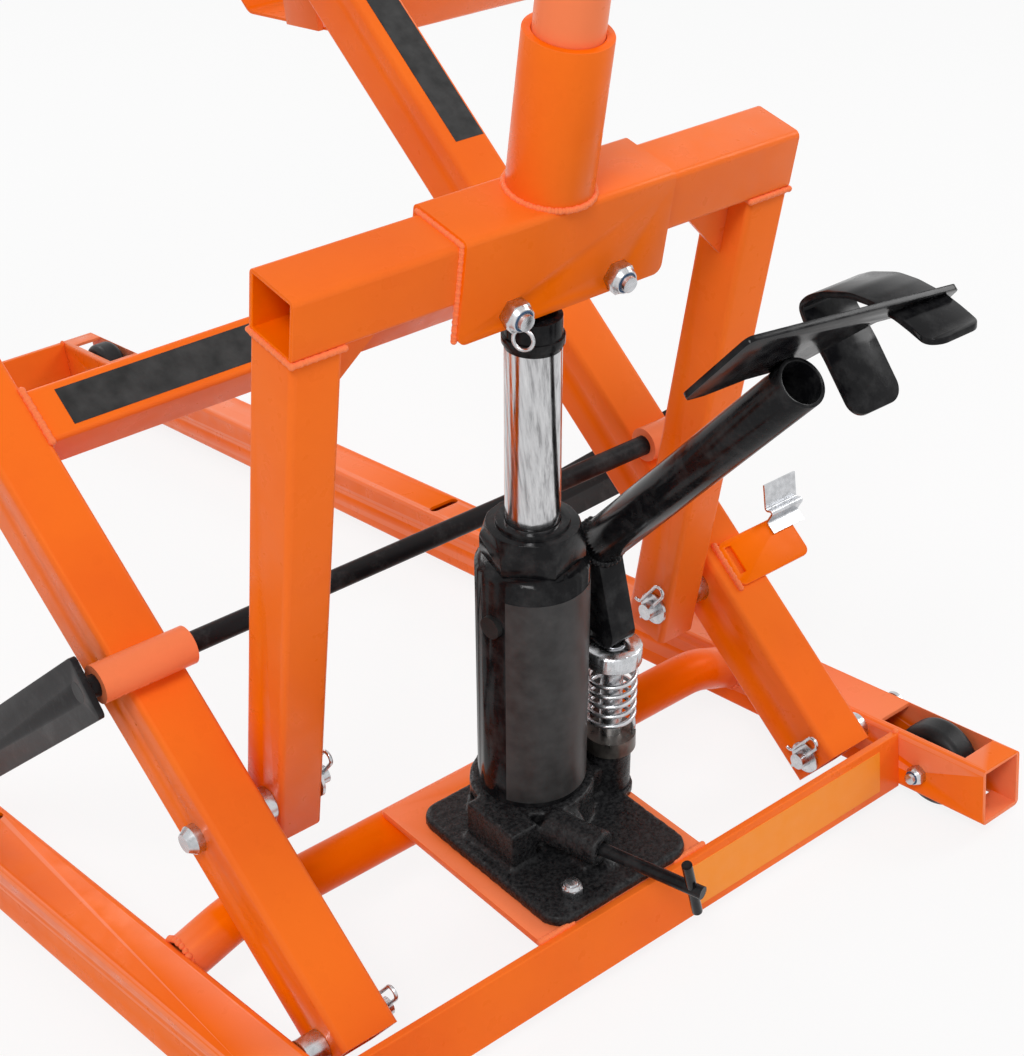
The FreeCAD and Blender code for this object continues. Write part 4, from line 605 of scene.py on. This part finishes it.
# Operators, one for each group of pieces
class LIFT_OT_finishes(bpy.types.Operator):
    """Makes the materials and gives every construction piece its finish"""
    bl_idname = "lift.finishes"
    bl_label = "Finishes"

    def execute(self, context):
        colours = settings()[0]
        MATERIALS.update({
            "powder_coat": powder_coat(colours), "gloss_enamel": gloss_enamel(colours),
            "cast_enamel": cast_enamel(colours), "satin_black": satin_black(colours),
            "bright_zinc": bright_zinc(colours), "polished_ram": polished_ram(colours),
            "oiled_steel": oiled_steel(colours),
            "nylon": moulded_black("nylon", tuple(colours.nylon), shine=0.32, grain=700),
            "grip_foam": moulded_black("grip_foam", (0.02, 0.02, 0.02), shine=0.7, grain=1100),
            "plug_rubber": moulded_black("plug_rubber", (0.012, 0.012, 0.012), shine=0.45, grain=900),
            "dark_label": bare_label("dark_label", tuple(colours.label_dark), roughness=0.3),
            "amber_label": bare_label("amber_label", tuple(colours.label_amber), roughness=0.3),
            "cylinder_label": bare_label("cylinder_label", (0.022, 0.021, 0.021), roughness=0.34),
            "nylon_ring": bare_label("nylon_ring", (0.02, 0.07, 0.16), roughness=0.3)})
        for name, piece in NODES.items():
            piece.data.materials.clear()
            piece.data.materials.append(MATERIALS[SLOT_MATERIALS[node_slot(name)]])
        return {"FINISHED"}


class LIFT_OT_edges(bpy.types.Operator):
    """Breaks the sharp edges of the tubes, plates and jack"""
    bl_idname = "lift.edges"
    bl_label = "Broken edges"

    fine: bpy.props.StringProperty(
        name="Pieces", description="Names of the pieces with a broken edge",
        default="left_rail right_rail front_bar rear_bar jack_plate left_arm right_arm front_cross_tube "
                "top_cross_tube left_yoke_leg right_yoke_leg yoke_beam saddle_bracket handle_sleeve "
                "clip_bracket left_lock_plate right_lock_plate pedal_plate pedal_strap pedal_socket "
                "jack_gland jack_cylinder left_hanger right_hanger left_pan right_pan pump_cap "
                "pump_links pedal_fork ram_head wheel_bolts saddle_bolts jack_bolts")

    def execute(self, context):
        edge = settings()[1].edge
        for name in self.fine.split():
            break_edges(name, edge)
        return {"FINISHED"}


class LIFT_OT_casting(bpy.types.Operator):
    """Turns the jack's foot into a sand casting with soft corners and a rough skin"""
    bl_idname = "lift.casting"
    bl_label = "Casting"

    def execute(self, context):
        sizes = settings()[1]
        piece = copy_of_node("jack_base", "jack_casting")
        apply_modifier(piece, "REMESH", mode="VOXEL", voxel_size=sizes.voxel)
        apply_modifier(piece, "SMOOTH", factor=0.5, iterations=3)
        clouds = bpy.data.textures.new("sand", "CLOUDS")
        clouds.noise_scale = 0.006
        apply_modifier(piece, "DISPLACE", texture=clouds, texture_coords="LOCAL", strength=sizes.cast_grain,
                       mid_level=0.62)
        self.clear_bore(piece)
        bpy.ops.object.shade_smooth()
        dress(piece, "cast_enamel")
        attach(piece, "base")
        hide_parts("jack_base")
        return {"FINISHED"}

    def clear_bore(self, piece):
        """Pushes the skin back to the bore's wall, and its floor down, so that the piston runs free."""
        radius, bottom, band = BORE_RADIUS * MM, BORE_FLOOR * MM, BORE_BAND * MM
        inverse = PUMP.inverted()
        for vertex in piece.data.vertices:
            spot = inverse @ vertex.co
            reach = math.hypot(spot.x, spot.y)
            if reach >= radius or spot.z < bottom - band:
                continue
            if spot.z > bottom + band and reach > 0:
                spot.x, spot.y = spot.x * radius / reach, spot.y * radius / reach
            else:
                spot.z = min(spot.z, bottom)
            vertex.co = PUMP @ spot


# Weld beads in millimetres, each in the frame of its part. Those of both sides are drawn on the right.
BEAM_ON_LEG = rectangle_points((148, 180.5), YOKE_FACES, 337.6)
SADDLE_EDGES = ([(SADDLE_SIDE, -12.6, 316), (SADDLE_SIDE, -12.6, 374)],
                [(SADDLE_SIDE, -12.6, 376), (SADDLE_SIDE, 25.5, 376)])
SLEEVE_FOOT = ring_points(25.2, "Z", (0, 6.46, 380), 40)
CROSS_TUBE_END = rectangle_points(ARM_SIDES[0], (406.5, 444.5), ARM_FACES)
BUSHING_EDGE = [(189, 249.8, 26), (ARM_SIDES[1], 249.8, 26)]
TOP_TUBE_EDGES = [[(x, y, ARM_FACES[1]) for x in ARM_SIDES] for y in (1035, 1085)]
CLIP_BRACKET_EDGE = [(203, 127, 26), (203, 163, 26)]
BAR_ENDS = [[(RAIL_INNER, y, z) for z in (-44, 0)] for y in (81, 1317)]
CROSS_PIPE_END = ring_points(16.5, "X", (245.5, 256, -13), 26)
JACK_PLATE_EDGES = ([(-86, 1, 0.2), (-60, 1, 0.2)], [(30, 1, 0.2), (55.5, 1, 0.2)],
                    [(-84, 165, -2.5), (54, 165, -2.5)])
LOCK_PLATE_ON_ROD = ring_points(8, "X", (259.4, 0, 0), 20)
SOCKET_ROOT = ring_points(15.2, "Y", (0, 239, 0), 30)


def on_side(points, side):
    """Points drawn on the right, there or mirrored to the left."""
    return [(side * x, y, z) for x, y, z in points]


class LIFT_OT_welds(bpy.types.Operator):
    """Lays the weld beads where tubes and plates meet"""
    bl_idname = "lift.welds"
    bl_label = "Welds"

    def execute(self, context):
        bead = settings()[1].bead
        yoke, lift, base = [], [], []
        for side in SIDES:
            yoke.append((YOKE, on_side(BEAM_ON_LEG, side)))
            for run in (CROSS_TUBE_END, BUSHING_EDGE, *TOP_TUBE_EDGES):
                lift.append((ARM, on_side(run, side)))
            for run in (*BAR_ENDS, CROSS_PIPE_END):
                base.append((BASE, on_side(run, side)))
        yoke.append((YOKE, SLEEVE_FOOT))
        for side in SIDES:
            yoke += [(YOKE, on_side(run, side)) for run in SADDLE_EDGES]
        lift.append((ARM, CLIP_BRACKET_EDGE))
        base += [(PLATE, run) for run in JACK_PLATE_EDGES]
        lock = [(LOCK, on_side(LOCK_PLATE_ON_ROD, side)) for side in SIDES]
        weld_group("yoke_welds", "yoke", yoke, bead * SMALL_BEAD)
        weld_group("frame_welds", "lift", lift, bead)
        weld_group("base_welds", "base", base, bead)
        weld_group("lock_welds", "lock_bar", lock, bead * SMALL_BEAD, "black_satin")
        weld_group("pedal_welds", "pedal", [(MOUTH, SOCKET_ROOT)], bead, "black_gloss")
        return {"FINISHED"}


class LIFT_OT_labels(bpy.types.Operator):
    """Adds the bare stickers of the tubes, the front bar and the jack"""
    bl_idname = "lift.labels"
    bl_label = "Bare labels"

    def execute(self, context):
        lift = settings()[1].label_lift / MM / 2
        face_up = ARM @ Matrix.Translation(Vector((0, 0, ARM_FACES[1] + lift)) * MM)
        sticker("cross_label", face_up, (-80, 425.5, 0), (185, 26), "dark_label", "lift")
        sticker("arm_label", face_up, (215, 590, 0), (26, 138), "dark_label", "lift")
        front = BASE @ Matrix.Translation(Vector((130, FRONT_BAR_FACE - lift, -23)) * MM)
        front = front @ Matrix.Rotation(math.pi / 2, 4, "X")
        sticker("bar_label", front, (0, 0, 0), (190, 34), "amber_label", "base")
        self.cylinder_label()
        return {"FINISHED"}

    def cylinder_label(self):
        """A sticker wrapped half round the jack's cylinder."""
        radius = CYLINDER_RADIUS + settings()[1].label_lift / MM
        deselect()
        bpy.ops.mesh.primitive_cylinder_add(vertices=96, radius=radius * MM, depth=WRAP_HEIGHT * MM,
                                            end_fill_type="NOTHING")
        piece = bpy.context.object
        activate(piece)
        bpy.ops.object.mode_set(mode="EDIT")
        mesh = bmesh.from_edit_mesh(piece.data)
        for face in mesh.faces:
            middle = face.calc_center_median()
            angle = math.degrees(math.atan2(middle.x, -middle.y))
            face.select_set(not WRAP_FROM < angle < WRAP_TO)
        bmesh.update_edit_mesh(piece.data)
        bpy.ops.mesh.delete(type="FACE")
        bpy.ops.object.mode_set(mode="OBJECT")
        piece.data.transform(JACK @ Matrix.Translation(Vector((0, 0, WRAP_MIDDLE)) * MM))
        settle(piece, "cylinder_label")
        apply_modifier(piece, "SOLIDIFY", thickness=settings()[1].label_lift * WRAP_THINNESS, offset=-1)
        bpy.ops.object.shade_smooth_by_angle(angle=math.radians(SMOOTH_ANGLE))
        dress(piece, "cylinder_label")
        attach(piece, "base")


class LIFT_OT_hardware(bpy.types.Operator):
    """Adds the insert rings of the lock nuts and the clip ring by the yoke's left bolt"""
    bl_idname = "lift.hardware"
    bl_label = "Small hardware"

    def execute(self, context):
        rings = []
        for side in SIDES:
            for start, height in WHEEL_BOLTS:
                spot = BASE @ (Vector(((RAIL_INNER - WHEEL_NUT_REACH) * side, start, height)) * MM)
                rings.append(torus(spot, (0, math.pi / 2, 0), WHEEL_RING, RING_WIRE))
        self.keep(rings, "wheel_nut_inserts", "base")
        rings = []
        across, height = SADDLE_BOLT
        for side in SIDES:
            spot = YOKE @ (Vector((across * side, SADDLE_FACE - SADDLE_NUT_REACH, height)) * MM)
            turn = (math.pi / 2 + math.radians(YOKE_LEAN), 0, 0)
            rings.append(torus(spot, turn, SADDLE_RING, RING_WIRE))
        self.keep(rings, "saddle_nut_inserts", "yoke")
        self.clip_ring()
        return {"FINISHED"}

    def keep(self, rings, name, body):
        piece = join_all(rings, name)
        dress(piece, "nylon_ring")
        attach(piece, body)

    def clip_ring(self):
        spot = YOKE @ (Vector((-SADDLE_BOLT[0], SADDLE_FACE - CLIP_REACH, CLIP_HEIGHT)) * MM)
        ring = torus(spot, (0, math.pi / 2, CLIP_LEAN), CLIP_RING, CLIP_WIRE, steps=40, wire_steps=10)
        piece = settle(ring, "bolt_clip_ring")
        dress(piece, "bright_zinc")
        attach(piece, "yoke")


class LIFT_OT_grips(bpy.types.Operator):
    """Replaces the handle grips by foam tubes with a rounded, ribbed profile"""
    bl_idname = "lift.grips"
    bl_label = "Grips"

    def execute(self, context):
        low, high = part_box("handle_grips")
        middle = (low + high) / 2
        radius = (high.z - low.z) / 2
        length = GRIP_LENGTH * MM
        pieces = []
        for side in SIDES:
            deselect()
            end = high.x if side > 0 else low.x
            bpy.ops.mesh.primitive_cylinder_add(vertices=48, radius=radius * GRIP_SLIM, depth=length,
                                                location=(end - side * length / 2, middle.y, middle.z),
                                                rotation=(0, math.pi / 2, 0))
            piece = bpy.context.object
            bpy.ops.object.transform_apply(location=True, rotation=True, scale=True)
            self.rib(piece)
            pieces.append(piece)
        piece = join_all(pieces, "foam_grips")
        bpy.ops.object.shade_smooth_by_angle(angle=math.radians(FOAM_ANGLE))
        dress(piece, "grip_foam")
        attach(piece, "yoke")
        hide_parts("handle_grips")
        return {"FINISHED"}

    def rib(self, piece):
        """Cuts the grip into rings by bisecting, and pulls every other ring in."""
        low = min(vertex.co.x for vertex in piece.data.vertices)
        high = max(vertex.co.x for vertex in piece.data.vertices)
        bpy.ops.object.mode_set(mode="EDIT")
        for step in range(1, RIB_COUNT):
            bpy.ops.mesh.select_all(action="SELECT")
            cut = low + (high - low) * step / RIB_COUNT
            bpy.ops.mesh.bisect(plane_co=(cut, 0, 0), plane_no=(1, 0, 0))
        bpy.ops.object.mode_set(mode="OBJECT")
        centre = sum((vertex.co for vertex in piece.data.vertices), Vector()) / len(piece.data.vertices)
        for vertex in piece.data.vertices:
            step = round((vertex.co.x - low) / (high - low) * RIB_COUNT)
            pull = RIB_PULL if step % 2 else 1.0
            if step in (0, RIB_COUNT):
                pull = END_PULL
            vertex.co.y = centre.y + (vertex.co.y - centre.y) * pull
            vertex.co.z = centre.z + (vertex.co.z - centre.z) * pull


def seen_ray(tree):
    """One for the rays that show the backdrop: from the camera, off metal or through glass."""
    path = tree.nodes.new("ShaderNodeLightPath")
    seen = path.outputs["Is Camera Ray"]
    for kind in ("Is Glossy Ray", "Is Transmission Ray"):
        high = tree.nodes.new("ShaderNodeMath")
        high.operation = "MAXIMUM"
        tree.links.new(seen, high.inputs[0])
        tree.links.new(path.outputs[kind], high.inputs[1])
        seen = high.outputs["Value"]
    return seen


class LIFT_OT_stage(bpy.types.Operator):
    """Sets the floor, the lamps, the world and the camera"""
    bl_idname = "lift.stage"
    bl_label = "Stage"

    def execute(self, context):
        colours, sizes, light = settings()
        self.floor(colours)
        for name, (spot, size) in LAMPS.items():
            self.lamp(name + "_lamp", spot, size, getattr(light, name))
        self.world(light.sky)
        self.camera(sizes.lens)
        return {"FINISHED"}

    def floor(self, colours):
        deselect()
        bpy.ops.mesh.primitive_plane_add(size=40, location=(0, 0, 0))
        floor = bpy.context.object
        floor.name = "studio_floor"
        nodes = Nodes("studio_floor")
        grain = nodes.noise(nodes.position(), scale=3, detail=2)
        tint = tuple(colours.floor)
        colour = nodes.ramp(grain, [(0.3, scaled(tint, 0.99)), (0.7, tint)])
        rough = nodes.spread(grain, 0.7, 0.8)
        nodes.surface(colour, rough, specular=0.2)
        self.glow(nodes)
        floor.data.materials.append(nodes.material)

    def glow(self, nodes):
        """Lets the camera see the floor nearly white, as a lit backdrop, with soft shadows left on it."""
        share = nodes.add("ShaderNodeMath", operation="MULTIPLY")
        nodes.join(seen_ray(nodes.tree), share.inputs[0])
        share.inputs[1].default_value = BACKDROP_GLOW
        light = nodes.add("ShaderNodeEmission")
        light.inputs["Color"].default_value = (1, 1, 1, 1)
        mix = nodes.add("ShaderNodeMixShader")
        nodes.join(share.outputs["Value"], mix.inputs["Fac"])
        nodes.join(nodes.shader.outputs["BSDF"], mix.inputs[1])
        nodes.join(light.outputs["Emission"], mix.inputs[2])
        nodes.join(mix.outputs["Shader"], nodes.tree.nodes["Material Output"].inputs["Surface"])

    def lamp(self, name, spot, size, power):
        data = bpy.data.lights.new(name, "AREA")
        data.size = size
        data.energy = power
        lamp = bpy.data.objects.new(name, data)
        bpy.context.scene.collection.objects.link(lamp)
        lamp.location = spot
        aim = Vector(LAMP_AIM) - Vector(spot)
        lamp.rotation_euler = aim.to_track_quat("-Z", "Y").to_euler()

    def world(self, strength):
        world = bpy.data.worlds.new("studio")
        bpy.context.scene.world = world
        world.use_nodes = True
        tree = world.node_tree
        background = tree.nodes["Background"]
        background.inputs["Color"].default_value = (1, 1, 1, 1)
        fit = tree.nodes.new("ShaderNodeMapRange")
        fit.inputs["To Min"].default_value = strength
        fit.inputs["To Max"].default_value = 1.0
        tree.links.new(seen_ray(tree), fit.inputs["Value"])
        tree.links.new(fit.outputs["Result"], background.inputs["Strength"])

    def camera(self, lens):
        """The photograph's viewpoint: beside and above the pedal end, looking back and down."""
        data = bpy.data.cameras.new("photo_view")
        data.lens = lens
        data.sensor_width = SENSOR_WIDTH
        data.sensor_fit = "AUTO"
        data.shift_x, data.shift_y = CAMERA_SHIFT
        data.clip_end = 60
        camera = bpy.data.objects.new("photo_view", data)
        bpy.context.scene.collection.objects.link(camera)
        camera.location = BASE @ (Vector(CAMERA_SPOT) * MM)
        camera.rotation_euler = Euler([math.radians(angle) for angle in CAMERA_TURNS], "XYZ")
        bpy.context.scene.camera = camera
        bpy.context.scene.view_settings.view_transform = "Standard"


class LIFT_PT_panel(bpy.types.Panel):
    """Lists the steps that dress the lift"""
    bl_label = "Mower Lift"
    bl_idname = "LIFT_PT_panel"
    bl_space_type = "VIEW_3D"
    bl_region_type = "UI"
    bl_category = "Mower Lift"

    def draw(self, context):
        for operator in OPERATORS:
            self.layout.operator(operator.bl_idname)
        for group in (context.scene.lift_colours, context.scene.lift_sizes, context.scene.lift_light):
            for key in group.bl_rna.properties.keys():
                if key not in ("rna_type", "name"):
                    self.layout.prop(group, key)


GROUPS = (("lift_colours", LiftColours), ("lift_sizes", LiftSizes), ("lift_light", LiftLight))
OPERATORS = (LIFT_OT_finishes, LIFT_OT_edges, LIFT_OT_casting, LIFT_OT_welds, LIFT_OT_labels,
             LIFT_OT_hardware, LIFT_OT_grips, LIFT_OT_stage)


def register():
    for name, group in GROUPS:
        bpy.utils.register_class(group)
        setattr(bpy.types.Scene, name, bpy.props.PointerProperty(type=group))
    for item in (*OPERATORS, LIFT_PT_panel):
        bpy.utils.register_class(item)


def unregister():
    for item in (LIFT_PT_panel, *reversed(OPERATORS)):
        bpy.utils.unregister_class(item)
    for name, group in reversed(GROUPS):
        delattr(bpy.types.Scene, name)
        bpy.utils.unregister_class(group)


def corners(box):
    return [[float(part) for part in corner] for corner in box]


def main():
    register()
    bpy.ops.lift.finishes()
    bpy.ops.lift.edges()
    bpy.ops.lift.casting()
    bpy.ops.lift.welds()
    bpy.ops.lift.labels()
    bpy.ops.lift.hardware()
    bpy.ops.lift.grips()
    bpy.ops.lift.stage()


if __name__ == "__main__":
    main()
